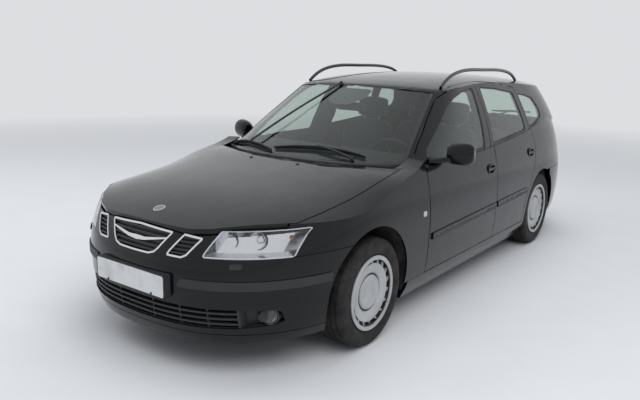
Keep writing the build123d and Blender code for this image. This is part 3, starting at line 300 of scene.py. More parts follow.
class Tree:
    """A material's node tree with short calls for the few nodes used here."""

    def __init__(self, name, colour, **inputs):
        self.material = bpy.data.materials.new(name)
        self.material.use_nodes = True
        self.tree = self.material.node_tree
        self.shader = self.tree.nodes["Principled BSDF"]
        self.output = self.tree.nodes["Material Output"]
        self.put("Base Color", (*colour, 1.0))
        for key, value in inputs.items():
            self.put(key.replace("_", " "), value)
        self.coordinates = self.node("TexCoord").outputs["Object"]
        self.normal = None

    def node(self, kind, **settings):
        made = self.tree.nodes.new("ShaderNode" + kind)
        for key, value in settings.items():
            setattr(made, key, value)
        return made

    def put(self, socket, value):
        target = self.shader.inputs[socket]
        if hasattr(value, "is_linked"):
            self.link(value, target)
        else:
            target.default_value = value

    def link(self, source, target):
        self.tree.links.new(source, target)

    def noise(self, scale, detail=3.0, roughness=0.55):
        made = self.node("TexNoise")
        made.inputs["Scale"].default_value = scale
        made.inputs["Detail"].default_value = detail
        made.inputs["Roughness"].default_value = roughness
        self.link(self.coordinates, made.inputs["Vector"])
        return made.outputs["Fac"]

    def waves(self, scale, direction):
        made = self.node("TexWave", bands_direction=direction)
        made.inputs["Scale"].default_value = scale
        self.link(self.coordinates, made.inputs["Vector"])
        return made.outputs["Fac"]

    def cells(self, scale):
        made = self.node("TexVoronoi")
        made.inputs["Scale"].default_value = scale
        self.link(self.coordinates, made.inputs["Vector"])
        return made.outputs["Distance"]

    def height(self):
        """How far up the object a point lies, in metres."""
        made = self.node("SeparateXYZ")
        self.link(self.coordinates, made.inputs["Vector"])
        return made.outputs["Z"]

    def maths(self, operation, first, second):
        made = self.node("Math", operation=operation)
        for socket, value in zip(made.inputs, (first, second)):
            if hasattr(value, "is_linked"):
                self.link(value, socket)
            else:
                socket.default_value = value
        return made.outputs["Value"]

    def ramp(self, source, low, high, start, end):
        made = self.node("MapRange")
        for key, value in (("From Min", low), ("From Max", high), ("To Min", start), ("To Max", end)):
            made.inputs[key].default_value = value
        self.link(source, made.inputs["Value"])
        return made.outputs["Result"]

    def blend(self, factor, first, second):
        made = self.node("Mix", data_type="RGBA")
        self.link(factor, made.inputs["Factor"])
        for socket, value in ((made.inputs["A"], first), (made.inputs["B"], second)):
            if hasattr(value, "is_linked"):
                self.link(value, socket)
            else:
                socket.default_value = (*value, 1.0)
        return made.outputs["Result"]

    def bump(self, height, distance, strength=1.0):
        made = self.node("Bump")
        made.inputs["Distance"].default_value = distance
        made.inputs["Strength"].default_value = strength
        self.link(height, made.inputs["Height"])
        if self.normal:
            self.link(self.normal, made.inputs["Normal"])
        self.normal = made.outputs["Normal"]
        self.put("Normal", self.normal)


def body_paint():
    """Black paint under clear lacquer: fine flake, faint dust, film of road dirt low down."""
    t = Tree("body_paint", (0.004, 0.004, 0.006), Specular_IOR_Level=0.05, Coat_Weight=1.0)
    t.put("Coat Roughness", 0.015)
    t.put("Coat IOR", 1.36)
    dust = t.noise(6.0, 6.0, 0.6)
    flake = t.ramp(t.cells(2600.0), 0.1, 0.5, 1.0, 0.0)
    t.put("Roughness", t.ramp(dust, 0.3, 0.7, 0.28, 0.42))
    clean = t.blend(flake, (0.0015, 0.0018, 0.0022), (0.004, 0.0045, 0.006))
    low = t.ramp(t.height(), 0.4, 0.18, 0.0, 0.35)
    t.put("Base Color", t.blend(t.maths("MULTIPLY", low, dust), clean, (0.025, 0.024, 0.022)))
    return t.material


def moulded(name, colour, roughness, grain=900.0, depth=0.0004):
    """Grained moulded plastic with slightly shinier and duller patches."""
    t = Tree(name, colour, Roughness=roughness, Specular_IOR_Level=0.4)
    patches = t.noise(9.0, 4.0)
    worn = tuple(min(1.0, c * 1.9 + 0.004) for c in colour)
    t.put("Base Color", t.blend(t.ramp(patches, 0.4, 0.8, 0.0, 0.35), colour, worn))
    t.put("Roughness", t.ramp(patches, 0.3, 0.7, roughness - 0.06, roughness + 0.08))
    t.bump(t.cells(grain), depth, 0.35)
    return t.material


def gloss_black():
    """Shiny black trim and printed glass borders."""
    t = Tree("gloss_black", (0.004, 0.004, 0.005), Roughness=0.12, Coat_Weight=0.6)
    t.put("Coat Roughness", 0.05)
    t.put("Roughness", t.ramp(t.noise(18.0, 4.0), 0.3, 0.7, 0.1, 0.2))
    return t.material


def underbody():
    """Black sealed steel with dried mud on it."""
    t = Tree("underbody", (0.018, 0.018, 0.02), Roughness=0.8)
    dirt = t.noise(9.0, 6.0, 0.65)
    mud = t.ramp(dirt, 0.42, 0.7, 0.0, 1.0)
    t.put("Base Color", t.blend(mud, (0.013, 0.013, 0.014), (0.06, 0.052, 0.042)))
    t.bump(t.noise(70.0), 0.0015, 0.5)
    return t.material


def metal(name, colour, roughness, scale=14.0):
    """Plated or bare metal, a little cloudier in patches."""
    t = Tree(name, colour, Metallic=1.0, Roughness=roughness)
    t.put("Roughness", t.ramp(t.noise(scale, 4.0), 0.3, 0.7, roughness * 0.7, roughness * 1.4))
    t.bump(t.noise(scale * 12), 0.0002, 0.1)
    return t.material


def cast_metal():
    """Bare cast engine metal, stained in patches."""
    t = Tree("engine_metal", (0.3, 0.3, 0.31), Metallic=0.8, Roughness=0.5)
    grime = t.ramp(t.noise(11.0, 6.0), 0.4, 0.7, 0.0, 1.0)
    t.put("Base Color", t.blend(grime, (0.34, 0.34, 0.35), (0.09, 0.08, 0.07)))
    t.bump(t.noise(180.0), 0.001, 0.5)
    return t.material


def glass(name, colour):
    """Thin glass that also lets lamps shine through it, with a faint film of dust."""
    t = Tree(name, colour, Roughness=0.0, Transmission_Weight=1.0, IOR=1.45)
    film = t.ramp(t.noise(5.0, 5.0), 0.35, 0.75, 0.0, 0.06)
    t.put("Base Color", t.blend(film, colour, tuple(c * 0.8 for c in colour)))
    clear = t.node("BsdfTransparent")
    clear.inputs["Color"].default_value = (*colour, 1.0)
    mix = t.node("MixShader")
    path = t.node("LightPath")
    t.link(path.outputs["Is Shadow Ray"], mix.inputs["Fac"])
    t.link(t.shader.outputs["BSDF"], mix.inputs[1])
    t.link(clear.outputs["BSDF"], mix.inputs[2])
    t.link(mix.outputs["Shader"], t.output.inputs["Surface"])
    return t.material


def lamp_colour(name, colour, pitch=260.0):
    """Moulded lamp lens with fine ribs under its smooth outer face."""
    t = Tree(name, colour, Roughness=0.2, Coat_Weight=0.6, Specular_IOR_Level=0.3, IOR=1.49)
    t.put("Coat Roughness", 0.02)
    ribs = t.waves(pitch, "Z")
    dark = tuple(c * 0.45 for c in colour)
    t.put("Base Color", t.blend(ribs, colour, dark))
    t.bump(ribs, 0.0008, 0.5)
    return t.material


def seat_fabric():
    """Charcoal seat cloth: a tight weave with lighter threads and a soft nap."""
    t = Tree("seat_fabric", (0.05, 0.05, 0.054), Roughness=0.95, Sheen_Weight=0.35)
    t.put("Sheen Roughness", 0.5)
    across = t.waves(260.0, "X")
    upward = t.waves(260.0, "Z")
    weave = t.maths("MULTIPLY", across, upward)
    fleck = t.ramp(t.noise(160.0, 2.0), 0.45, 0.62, 0.0, 1.0)
    cloth = t.blend(weave, (0.028, 0.028, 0.031), (0.07, 0.07, 0.075))
    t.put("Base Color", t.blend(t.maths("MULTIPLY", fleck, 0.35), cloth, (0.13, 0.13, 0.14)))
    t.bump(weave, 0.0008, 0.6)
    return t.material


def tyre_rubber():
    """Rubber, browner where the road has greyed it."""
    t = Tree("tyre_rubber", (0.012, 0.012, 0.013), Roughness=0.72, Specular_IOR_Level=0.35)
    dirt = t.ramp(t.noise(14.0, 6.0, 0.65), 0.4, 0.75, 0.0, 1.0)
    t.put("Base Color", t.blend(dirt, (0.009, 0.009, 0.01), (0.035, 0.032, 0.028)))
    t.bump(t.noise(500.0), 0.0004, 0.4)
    return t.material


def wheel_silver():
    """Silver-painted plastic wheel cover with brake dust in its lows."""
    t = Tree("wheel_silver", (0.42, 0.43, 0.45), Metallic=0.2, Roughness=0.42, Specular_IOR_Level=0.4)
    dirt = t.ramp(t.noise(8.0, 4.0, 0.5), 0.4, 0.75, 0.0, 1.0)
    t.put("Base Color", t.blend(dirt, (0.44, 0.45, 0.46), (0.36, 0.36, 0.355)))
    t.put("Roughness", t.ramp(dirt, 0.0, 1.0, 0.38, 0.5))
    t.bump(t.noise(600.0, 2.0), 0.0002, 0.2)
    return t.material


def plate_white():
    """Number plate sheet under a thin film of dust."""
    t = Tree("plate_white", (0.66, 0.67, 0.68), Roughness=0.35, Coat_Weight=0.3)
    dust = t.ramp(t.noise(9.0, 5.0), 0.45, 0.75, 0.0, 1.0)
    t.put("Base Color", t.blend(dust, (0.68, 0.69, 0.7), (0.5, 0.49, 0.47)))
    t.bump(t.cells(1500.0), 0.0002, 0.2)
    return t.material


FINISHES = {
    "body_paint": body_paint(),
    "underbody": underbody(),
    "black_plastic": moulded("black_plastic", (0.022, 0.022, 0.024), 0.48),
    "bright_trim": metal("bright_trim", (0.8, 0.81, 0.82), 0.1),
    "clear_lens": glass("clear_lens", (0.98, 0.985, 0.99)),
    "lamp_red": lamp_colour("lamp_red", (0.32, 0.012, 0.012)),
    "tinted_glass": glass("tinted_glass", (0.7, 0.78, 0.74)),
    "engine_metal": cast_metal(),
    "interior_plastic": moulded("interior_plastic", (0.035, 0.035, 0.037), 0.62, 700.0, 0.0006),
    "seat_fabric": seat_fabric(),
    "tyre_rubber": tyre_rubber(),
    "wheel_silver": wheel_silver(),
    "gloss_black": gloss_black(),
    "reflector": metal("reflector", (0.74, 0.75, 0.77), 0.16, 40.0),
    "lamp_amber": lamp_colour("lamp_amber", (0.75, 0.24, 0.02)),
    "lamp_white": lamp_colour("lamp_white", (0.72, 0.73, 0.75)),
    "plate_white": plate_white(),
    "badge_grey": metal("badge_grey", (0.3, 0.34, 0.4), 0.3, 60.0),
    "steel": metal("steel", (0.45, 0.44, 0.43), 0.35, 30.0),
}


# ---------------------------------------------------------------- CAD pieces

CAD_FINISHES = {
    "headlamps": "reflector",
    "left_mirror": "body_paint",
    "right_mirror": "body_paint",
    "roof_rails": "gloss_black",
}


def finish_cad():
    """Give each CAD node its finish, and let flat faces stay flat beside their rounded edges."""
    for name, node in NODES.items():
        for place in node.material_slots:
            finish = CAD_FINISHES.get(name, place.material.name.split(".")[0])
            place.material = FINISHES[finish]
        weld = node.modifiers.new("weld", "WELD")
        weld.merge_threshold = 0.00002
        for face in node.data.polygons:
            face.use_smooth = True
        split = node.modifiers.new("split", "EDGE_SPLIT")
        split.split_angle = math.radians(22)
        even = node.modifiers.new("even", "WEIGHTED_NORMAL")
        even.keep_sharp = True


# ---------------------------------------------------------------- front and rear

PLATE_WIDTH = 0.52
PLATE_HEIGHT = 0.11
PLATE_RIM = 0.006


def number_plate(name, skin, view, height, face, body):
    """Blank plate in a thin black frame, which is deep enough to reach the skin behind it."""
    way = -1 if view == "front" else 1

    def box(half_width, half_height):
        corners = [(-half_width, height - half_height), (half_width, height - half_height),
                   (half_width, height + half_height), (-half_width, height + half_height)]
        return rounded(corners, 0.012, 0.03)

    points, faces = filled(box(PLATE_WIDTH / 2 + PLATE_RIM, PLATE_HEIGHT / 2 + PLATE_RIM), 0.04)
    near = [Vector((p.x, face, p.y)) for p in points]
    far = [Vector((p.x, skin.under(view, p.x, p.y)[0].y - 0.001 * way, p.y)) for p in points]
    piece(name + "_frame", joined(near, far, faces), "black_plastic", body, bevel=0.002)
    points, faces = filled(box(PLATE_WIDTH / 2, PLATE_HEIGHT / 2), 0.05)
    sheet = [Vector((p.x, face + 0.0012 * way, p.y)) for p in points]
    blank = thickened(sheet, [Vector((0, way, 0))] * len(sheet), faces, 0.0018)
    piece(name, blank, "plate_white", body, bevel=0.0005)
    for side, sign in SIDES.items():
        place = (sign * 0.17, face + 0.001 * way, height - PLATE_HEIGHT / 2 + 0.006)
        head = [(0, 0.004), (0.005, 0.0036), (0.007, 0.001), (0.007, 0), (0, 0)]
        clip = turned(head, place, (0, way, 0), 20)
        piece(f"{name}_{side}_clip", clip, "black_plastic", body)


def round_badge(name, skin, view, a, b, radius, body):
    """Bare round badge: a bright rim round a plain dished disc."""
    place, up = skin.under(view, a, b)
    rim = [(radius * 0.84, 0.0015), (radius * 0.86, 0.0045), (radius * 0.93, 0.0055), (radius, 0.004),
           (radius, -0.004), (radius * 0.84, -0.004)]
    disc = [(0, 0.0025), (radius * 0.6, 0.0022), (radius * 0.85, 0.0012), (radius * 0.85, -0.003),
            (0, -0.003)]
    piece(name + "_rim", turned(rim, place, up, 56), "bright_trim", body)
    piece(name, turned(disc, place, up, 48), "badge_grey", body)


def headlamps():
    """Two bowls, each with a bezel, a ring and a lens, and an amber bulb, inside each headlamp."""
    look = Vector((0.35, -1.0, 0.12)).normalized()
    lamps = (("projector", 0.575, 0.315, 0.690, 0.040), ("main_beam", 0.470, 0.235, 0.682, 0.032))
    for name, x, distance, z, radius in lamps:
        front = Vector((x, along(distance), z))
        bowl = [(1.0, 0.0), (0.92, -0.004), (0.72, -0.02), (0.5, -0.03), (0, -0.032), (0, -0.038),
                (0.6, -0.036), (0.8, -0.024), (1.0, -0.008), (1.1, 0.0), (1.1, 0.004), (1.0, 0.004)]
        eye = [(0, 0.004), (0.35, 0.001), (0.62, -0.012), (0.62, -0.02), (0, -0.02)]
        bezel = [(1.02, 0.005), (1.12, 0.007), (1.2, 0.002), (1.2, -0.012), (1.02, -0.012)]
        band = [(0.62, -0.01), (0.7, -0.01), (0.7, -0.026), (0.62, -0.026)]
        parts = (("bowl", bowl, 40, "reflector"), ("lens", eye, 36, "clear_lens"),
                 ("bezel", bezel, 40, "badge_grey"), ("ring", band, 36, "gloss_black"))
        for part, profile, steps, finish in parts:
            shape = turned([(radius * share, height) for share, height in profile], front, look, steps)
            pair(f"headlamp_{name}_{part}", shape, finish, "body")
    bulb = turned([(0, 0.016), (0.008, 0.013), (0.012, 0.004), (0.012, -0.01), (0, -0.01)],
                  (0.676, along(0.452), 0.696), (0.75, -0.6, 0.1), 24)
    pair("headlamp_indicator_bulb", bulb, "lamp_amber", "body")


def fog_lamps():
    """Round lamp with a clear face in each corner of the lower grille."""
    place = Vector((0.676, along(0.289), 0.331))
    way = Vector((0.62, -1, 0.0)).normalized()
    rim = [(0.037, 0.0), (0.041, 0.004), (0.046, 0.002), (0.046, -0.03), (0.037, -0.03)]
    pair("fog_lamp_rim", turned(rim, place, way, 40), "gloss_black", "body")
    bowl = [(0.037, -0.004), (0.03, -0.014), (0.012, -0.024), (0, -0.025), (0, -0.03), (0.037, -0.028)]
    pair("fog_lamp_bowl", turned(bowl, place, way, 40), "reflector", "body")
    face = [(0, 0.004), (0.02, 0.003), (0.0375, -0.001), (0.0375, -0.004), (0, -0.003)]
    pair("fog_lamp_lens", turned(face, place, way, 40), "clear_lens", "body")


WIPER_RUBBER = [(-0.002, 0.002), (-0.004, 0.008), (0.004, 0.008), (0.002, 0.002), (0.0008, -0.0055),
                (-0.0008, -0.0055)]
WIPER_BLADE = bead(0.009, 0.006, 0.006)
WIPER_ARM = bead(0.014, 0.008, 0.004)


def bowed(path, ups, lift, rise):
    """The path lifted off its skin, and more so towards its middle."""
    last = len(path) - 1
    heights = [lift + rise * math.sin(math.pi * k / last) for k in range(last + 1)]
    return [place + up * height for place, up, height in zip(path, ups, heights)]


def wipers():
    """Two arms with hinged blades, parked along the foot of the windscreen."""
    screen = Skin("fixed_glass")
    for name, ends, pivot in (("left", ((-0.150, 1.286), (0.505, 1.372)), (0.44, 1.322)),
                              ("right", ((-0.62, 1.400), (-0.155, 1.262)), (-0.20, 1.212))):
        (x0, d0), (x1, d1) = ends
        run = [(x0 + (x1 - x0) * k / 14, along(d0 + (d1 - d0) * k / 14)) for k in range(15)]
        path, ups = screen.laid("top", run, 0.006)
        piece(f"{name}_wiper_rubber", swept(path, ups, WIPER_RUBBER), "tyre_rubber", "body")
        bow = bowed(path, ups, 0.010, 0.010)
        piece(f"{name}_wiper_blade", swept(bow, ups, WIPER_BLADE), "black_plastic", "body")
        middle_up = ups[7]
        root, root_up = screen.under("top", pivot[0], along(pivot[1]))
        root = root + root_up * 0.010
        end = bow[7] + middle_up * 0.006
        arm = bowed([root.lerp(end, k / 8) for k in range(9)], [middle_up] * 9, 0.0, 0.012)
        piece(f"{name}_wiper_arm", swept(arm, [middle_up] * 9, WIPER_ARM), "black_plastic", "body")
        cap = [(0, 0.014), (0.009, 0.012), (0.014, 0.004), (0.014, -0.02), (0, -0.02)]
        piece(f"{name}_wiper_pivot", turned(cap, root, root_up, 28), "black_plastic", "body")
        for k in (3, 11):
            clip = turned([(0, 0.008), (0.005, 0.006), (0.0065, 0.0), (0.0065, -0.012), (0, -0.012)],
                          bow[k], ups[k], 20)
            piece(f"{name}_wiper_clip_{k}", clip, "black_plastic", "body")


def washer_jets():
    """Two washer nozzles on the bonnet."""
    bonnet = Skin("bonnet")
    for side, x in (("left", 0.190), ("right", -0.190)):
        place, up = bonnet.under("top", x, along(1.100))
        nose = [(0, 0.007), (0.005, 0.0065), (0.010, 0.004), (0.013, 0.0005), (0.013, -0.003), (0, -0.003)]
        piece(f"{side}_washer_jet", turned(nose, place, up, 28), "black_plastic", "bonnet")


def inner_mirror():
    """Sensor patch behind the windscreen, and the mirror that hangs from it."""
    screen = Skin("fixed_glass")
    patch = rounded([(-0.16, along(1.88)), (-0.07, along(1.79)), (0.07, along(1.79)), (0.16, along(1.88)),
                     (0.16, along(1.975)), (-0.16, along(1.975))], 0.03, 0.02)
    piece("mirror_patch", screen.panel("top", patch, -0.0062, 0.0008, 0.03), "gloss_black", "body")
    stem, up = screen.under("top", 0, along(1.86))
    root = stem - up * 0.006
    glass = root + Vector((0, 0.075, -0.062))
    arm = [root.lerp(glass, k / 5) for k in range(6)]
    piece("inner_mirror_stem", swept(arm, [up] * 6, ring(0.008, 12)), "interior_plastic", "body")
    tilt = Matrix.Rotation(math.radians(-8), 3, "X")
    back = rounded([(-0.125, -0.03), (0.125, -0.03), (0.12, 0.032), (-0.12, 0.032)], 0.028, 0.02)
    points, faces = filled(back, 0.02)
    near = [glass + tilt @ Vector((p.x, 0.012, p.y)) for p in points]
    far = [glass + tilt @ Vector((p.x * 0.9, -0.022, p.y * 0.8)) for p in points]
    piece("inner_mirror", joined(near, far, faces), "interior_plastic", "body", bevel=0.004)
    face = rounded([(-0.117, -0.024), (0.117, -0.024), (0.113, 0.026), (-0.113, 0.026)], 0.022, 0.02)
    points, faces = filled(face, 0.03)
    sheet = [glass + tilt @ Vector((p.x, 0.0135, p.y)) for p in points]
    mirror = thickened(sheet, [Vector((0, 1, 0))] * len(sheet), faces, 0.002)
    piece("inner_mirror_glass", mirror, "reflector", "body")


# ---------------------------------------------------------------- sides


def pane_rim(skin, view, centre, turns=96):
    """Outline of the pane round a centre, as one view sees it, found by halving towards each edge."""
    outline = []
    for k in range(turns):
        angle = 2 * math.pi * k / turns
        way = Vector((math.cos(angle), math.sin(angle)))
        near, far = 0.0, 1.2
        for _ in range(14):
            half = (near + far) / 2
            spot = Vector(centre) + way * half
            near, far = (half, far) if skin.shows(view, spot.x, spot.y) else (near, half)
        outline.append(Vector(centre) + way * near)
    return outline


def shrunk(outline, by):
    """The outline moved inwards."""
    centre = sum(outline, Vector((0, 0))) / len(outline)
    return [p + (centre - p).normalized() * by for p in outline]


def seals():
    """Black border along the rim of each pane."""
    panes = [("windscreen", "fixed_glass", "top", (0.0, along(1.66)), "body", 0.026),
             ("tailgate_window", "tailgate_glass", "back", (0.0, 1.165), "tailgate", 0.022)]
    for name, node, view, centre, body, width in panes:
        skin = Skin(node)
        outline = shrunk(pane_rim(skin, view, centre), width * 0.6)
        path, ups = skin.laid(view, outline, 0.0)
        piece(name + "_border", swept(path, ups, bead(width, 0.0016, 0.0005), True), "gloss_black", body)
    sides = (("front_window", "front_{side}_glass", (along(2.15), 1.10), "front_{side}_door"),
             ("rear_window", "rear_{side}_glass", (along(3.00), 1.13), "rear_{side}_door"),
             ("quarter_window", "fixed_glass", (along(3.66), 1.19), "body"))
    for name, node, centre, body in sides:
        skin = Skin(node.format(side="left"))
        outline = shrunk(pane_rim(skin, "left", centre), 0.006)
        path, ups = skin.laid("left", outline, 0.0)
        pair(name + "_seal", swept(path, ups, bead(0.014, 0.003, 0.0005), True), "black_plastic", body)


def side_markers():
    """Small clear lamp on each wing, ahead of the door."""
    wing = Skin("front_fenders")
    corners = [(along(1.452), 0.643), (along(1.494), 0.645), (along(1.492), 0.677), (along(1.454), 0.675)]
    shape = rounded(corners, 0.012, 0.01)
    pair("side_marker", wing.panel("left", shape, 0.004, 0.006, 0.012), "lamp_white", "body", bevel=0.0012)


def rub_strips():
    """Satin face on each door's protection strip."""
    for which, ends in (("front", (1.585, 2.584)), ("rear", (2.624, 3.231))):
        door = Skin(f"{which}_left_door")
        run = []
        for distance in ends + ends[::-1]:
            top = 0.516 + 0.0242 * (distance - 1.579)
            run.append((along(distance), top if len(run) < 2 else top - 0.0405))
        shape = rounded(run, 0.006, 0.02)
        pair(which + "_rub_strip", door.panel("left", shape, 0.0014, 0.003, 0.025), "black_plastic",
             which + "_{side}_door", bevel=0.0008)


def mirrors():
    """Glass in the back of each door mirror."""
    back = rounded([(-0.072, -0.045), (0.078, -0.05), (0.08, 0.045), (-0.068, 0.045)], 0.03, 0.015)
    points, faces = filled(back, 0.02)
    for side, sign in SIDES.items():
        housing = Skin(f"{side}_mirror")
        made = []
        for p in points:
            hit, _ = housing.under("back", sign * 0.925 + sign * p.x, 0.995 + p.y)
            made.append(hit + Vector((0, 0.0015, 0)))
        sheet = thickened(made, [Vector((0, 1, 0))] * len(made), faces, 0.002)
        piece(f"{side}_mirror_glass", sheet, "reflector", f"front_{side}_door")


# ---------------------------------------------------------------- wheels

TYRE_RADIUS = (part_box("front_left_tyre")[1][2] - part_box("front_left_tyre")[0][2]) / 2
RIM_RADIUS = 0.203
TREAD_STEPS = 216
GROOVE_DEPTH = 0.007
SHOULDER_CUT = 0.0045
BLOCK_CUT = 0.004


def tyre(node):
    """Tyre with bead, bulged wall, rounded shoulder, three grooves round it and slanted cuts across."""
    low, high = (Vector(c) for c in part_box(node))
    centre = (low + high) / 2
    half = (high.x - low.x) / 2
    shoulder = TYRE_RADIUS - 0.0004
    # radii, each with its share of the half width
    bead_to_wall = [(0.0, 0.80), (0.007, 0.86), (0.022, 0.93), (0.026, 0.945), (0.028, 0.94),
                    (0.045, 0.985), (0.06, 0.995), (0.075, 0.98), (0.077, 0.965), (0.080, 0.962)]
    wall_to_tread = [(0.018, 0.93), (0.010, 0.885), (0.0045, 0.825), (0.0015, 0.76)]
    wall = [(RIM_RADIUS + rise, share) for rise, share in bead_to_wall]
    wall += [(shoulder - drop, share) for drop, share in wall_to_tread]
    tread = [(shoulder - 0.0007, 0.70)]
    for edge in (0.66, 0.30, -0.10):
        tread += [(shoulder, edge), (shoulder - GROOVE_DEPTH, edge - 0.015),
                  (shoulder - GROOVE_DEPTH, edge - 0.085), (shoulder, edge - 0.1)]
    tread.append((shoulder - 0.0007, -0.70))
    far_wall = [(radius, -share) for radius, share in reversed(wall)]
    run = [(radius, share * half) for radius, share in wall + tread + far_wall]
    points, faces = [], []
    for k in range(TREAD_STEPS):
        angle = 2 * math.pi * k / TREAD_STEPS
        for radius, offset in run:
            across = abs(offset) / half
            deep = SHOULDER_CUT if k % 4 == 0 and 0.70 < across < 0.9 else 0.0
            if k % 6 == 3 and across < 0.68 and radius > shoulder - 0.001:
                deep = BLOCK_CUT
            slant = 0.02 * math.sin(3.2 * offset / half) if radius > shoulder - 0.02 else 0.0
            spot = Vector((0, math.cos(angle + slant), math.sin(angle + slant))) * (radius - deep)
            points.append(centre + spot + Vector((offset, 0, 0)))
    count = len(run)
    for k in range(TREAD_STEPS):
        m = (k + 1) % TREAD_STEPS
        for i in range(count):
            j = (i + 1) % count
            faces.append((k * count + i, k * count + j, m * count + j, m * count + i))
    name, body = node.replace("_tyre", "_tread"), node.replace("_tyre", "_wheel")
    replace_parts(piece(name, (points, faces), "tyre_rubber", body, smooth=28), node)


def wheel_details():
    """Dark rings that give painted shade behind the slots and in the groove of each cover, and the tyre's
    valve.
    """
    # The first two profiles are dark rings of painted shade: one behind the slots and over the rim's inner
    # wall, one at the bottom of the cover's groove.
    shade = [(0.148, -0.0315), (0.1875, -0.0315), (0.1875, -0.006), (0.1885, -0.006), (0.1885, -0.0335),
             (0.148, -0.0335)]
    groove = [(0.0985, -0.0285), (0.1085, -0.0285), (0.1085, -0.0305), (0.0985, -0.0305)]
    valve = [(0, 0.004), (0.0035, 0.004), (0.0035, -0.022), (0, -0.022)]
    parts = (("cover_painted_shade", shade, 0.0, 72, "underbody"),
             ("cover_groove_painted_shade", groove, 0.0, 72, "black_plastic"),
             ("valve", valve, -0.178, 16, "black_plastic"))
    for corner, outward in (("front_left", 1), ("front_right", -1), ("rear_left", 1), ("rear_right", -1)):
        node = corner + "_wheel"
        low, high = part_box(node)
        face = high[0] if outward > 0 else low[0]
        centre = middle(node)
        for part, profile, drop, steps, finish in parts:
            place = (face, centre.y, centre.z + drop)
            piece(f"{corner}_{part}", turned(profile, place, (outward, 0, 0), steps), finish, node)


# ---------------------------------------------------------------- cabin


CUSHION_GRID = 26
CUSHION_DEEP = 8
CUSHION_POWER = 5.0
SEAM_DEPTH = 0.006
PIPING_DEPTH = 0.004


def cushion(name, box_low, box_high, lean=0.0, channels=0, crown=0.012):
    """Crowned cushion with rounded corners, sides that pull in and sewn channels across its front."""
    low, high = Vector(box_low), Vector(box_high)
    half = (high - low) / 2
    centre = (low + high) / 2
    points, faces = [], []
    index = {}

    def put(u, v, w):
        key = (round(u, 4), round(v, 4), round(w, 4))
        if key not in index:
            index[key] = len(points)
            points.append(shape(u, v, w))
        return index[key]

    def shape(u, v, w):
        """Place of a point of the cube from -1 to 1, pressed into the cushion's form."""
        edge_u, edge_v, edge_w = abs(u), abs(v), abs(w)
        length = sum(edge**CUSHION_POWER for edge in (edge_u, edge_v, edge_w)) ** (1 / CUSHION_POWER)
        scale = 1.0 if length < 1e-6 else max(edge_u, edge_v, edge_w) / length
        pull = 1 - 0.05 * (1 - edge_w) * (max(edge_u, edge_v) ** 6)
        swell = crown * (1 - edge_u**2) * (1 - edge_v**2)
        seams = 0.0
        for k in range(channels):
            at = -0.55 + 1.1 * k / max(1, channels - 1)
            seams += SEAM_DEPTH * math.exp(-(((v - at) / 0.035) ** 2)) * (1 - edge_u**8)
        piping = PIPING_DEPTH * math.exp(-(((max(edge_u, edge_v) - 0.86) / 0.03) ** 2))
        offset = (swell - seams - piping) * (1 if w > 0 else 0.3) * (1 if edge_w > 0.5 else 0)
        x, y, z = u * scale * half.x, v * scale * half.y, w * scale * half.z
        return Vector((x * pull, y * pull, z + math.copysign(offset, w)))

    def side(fixed, sign, first, second, n, m):
        for i in range(n):
            for j in range(m):
                corners = []
                for a, b in ((i, j), (i + 1, j), (i + 1, j + 1), (i, j + 1)):
                    at = [0.0, 0.0, 0.0]
                    at[fixed] = sign
                    at[first] = -1 + 2 * a / n
                    at[second] = -1 + 2 * b / m
                    corners.append(put(*at))
                faces.append(tuple(corners))

    for sign in (1, -1):
        side(2, sign, 0, 1, CUSHION_GRID, CUSHION_GRID)
        side(0, sign, 1, 2, CUSHION_GRID, CUSHION_DEEP)
        side(1, sign, 0, 2, CUSHION_GRID, CUSHION_DEEP)
    turn = Matrix.Rotation(math.radians(lean), 3, "X")
    points = [centre + turn @ p for p in points]
    made = piece(name, (points, faces), "seat_fabric", "body", smooth=60)
    return made


def stood(name, half, place, lean, **options):
    """A cushion tipped up about the axis across the car and set down at its place."""
    (half_x, half_y, half_z), x = half, place[0]
    made = cushion(name, (x - half_x, -half_y, -half_z), (x + half_x, half_y, half_z), **options)
    turn = Matrix.Rotation(math.radians(lean), 4, "X")
    made.data.transform(Matrix.Translation((0, place[1], place[2])) @ turn)


def block(low, high):
    """A plain box between two corners."""
    (x0, y0, z0), (x1, y1, z1) = low, high
    points = [Vector((x, y, z)) for z in (z0, z1) for y in (y0, y1) for x in (x0, x1)]
    faces = [(0, 2, 3, 1), (4, 5, 7, 6), (0, 1, 5, 4), (2, 6, 7, 3), (0, 4, 6, 2), (1, 3, 7, 5)]
    return points, faces


def seats():
    """Padded seats over the CAD seat blocks, the front ones on plain plastic bases."""
    for side, sign in SIDES.items():
        x = sign * 0.37
        low, high = (x - 0.25, along(2.12), 0.345), (x + 0.25, along(2.60), 0.475)
        made = cushion(f"{side}_seat_cushion", low, high, lean=4, channels=3, crown=0.016)
        if side == "left":
            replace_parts(made, "seats")
        place = (x, along(2.735), 0.745)
        stood(f"{side}_seat_back", (0.245, 0.315, 0.06), place, 76, channels=3, crown=0.016)
        stood(f"{side}_headrest", (0.135, 0.085, 0.045), (x, along(2.835), 1.145), 80)
        for part, offset in (("inner", -0.07), ("outer", 0.07)):
            rod = [Vector((x + offset, along(2.815) + 0.005 * k, 1.03 + 0.02 * k)) for k in range(5)]
            shape = swept(rod, [Vector((1, 0, 0))] * len(rod), ring(0.006, 14))
            piece(f"{side}_headrest_{part}_rod", shape, "steel", "body")
        base = block((x - 0.20, along(2.20), 0.166), (x + 0.20, along(2.58), 0.350))
        piece(f"{side}_seat_base", base, "interior_plastic", "body", bevel=0.012)
    low, high = (-0.585, along(3.04), 0.33), (0.585, along(3.44), 0.495)
    cushion("rear_seat_cushion", low, high, lean=3, crown=0.02)
    stood("rear_seat_back", (0.58, 0.245, 0.045), (0, along(3.545), 0.745), 72, crown=0.016)
    for name, x in (("left", 0.34), ("middle", 0.0), ("right", -0.34)):
        stood(f"rear_{name}_headrest", (0.12, 0.055, 0.038), (x, along(3.638), 1.040), 78, crown=0.01)


VENT_LOW = 0.765
VENT_HIGH = 0.845
VENT_SLATS = 4


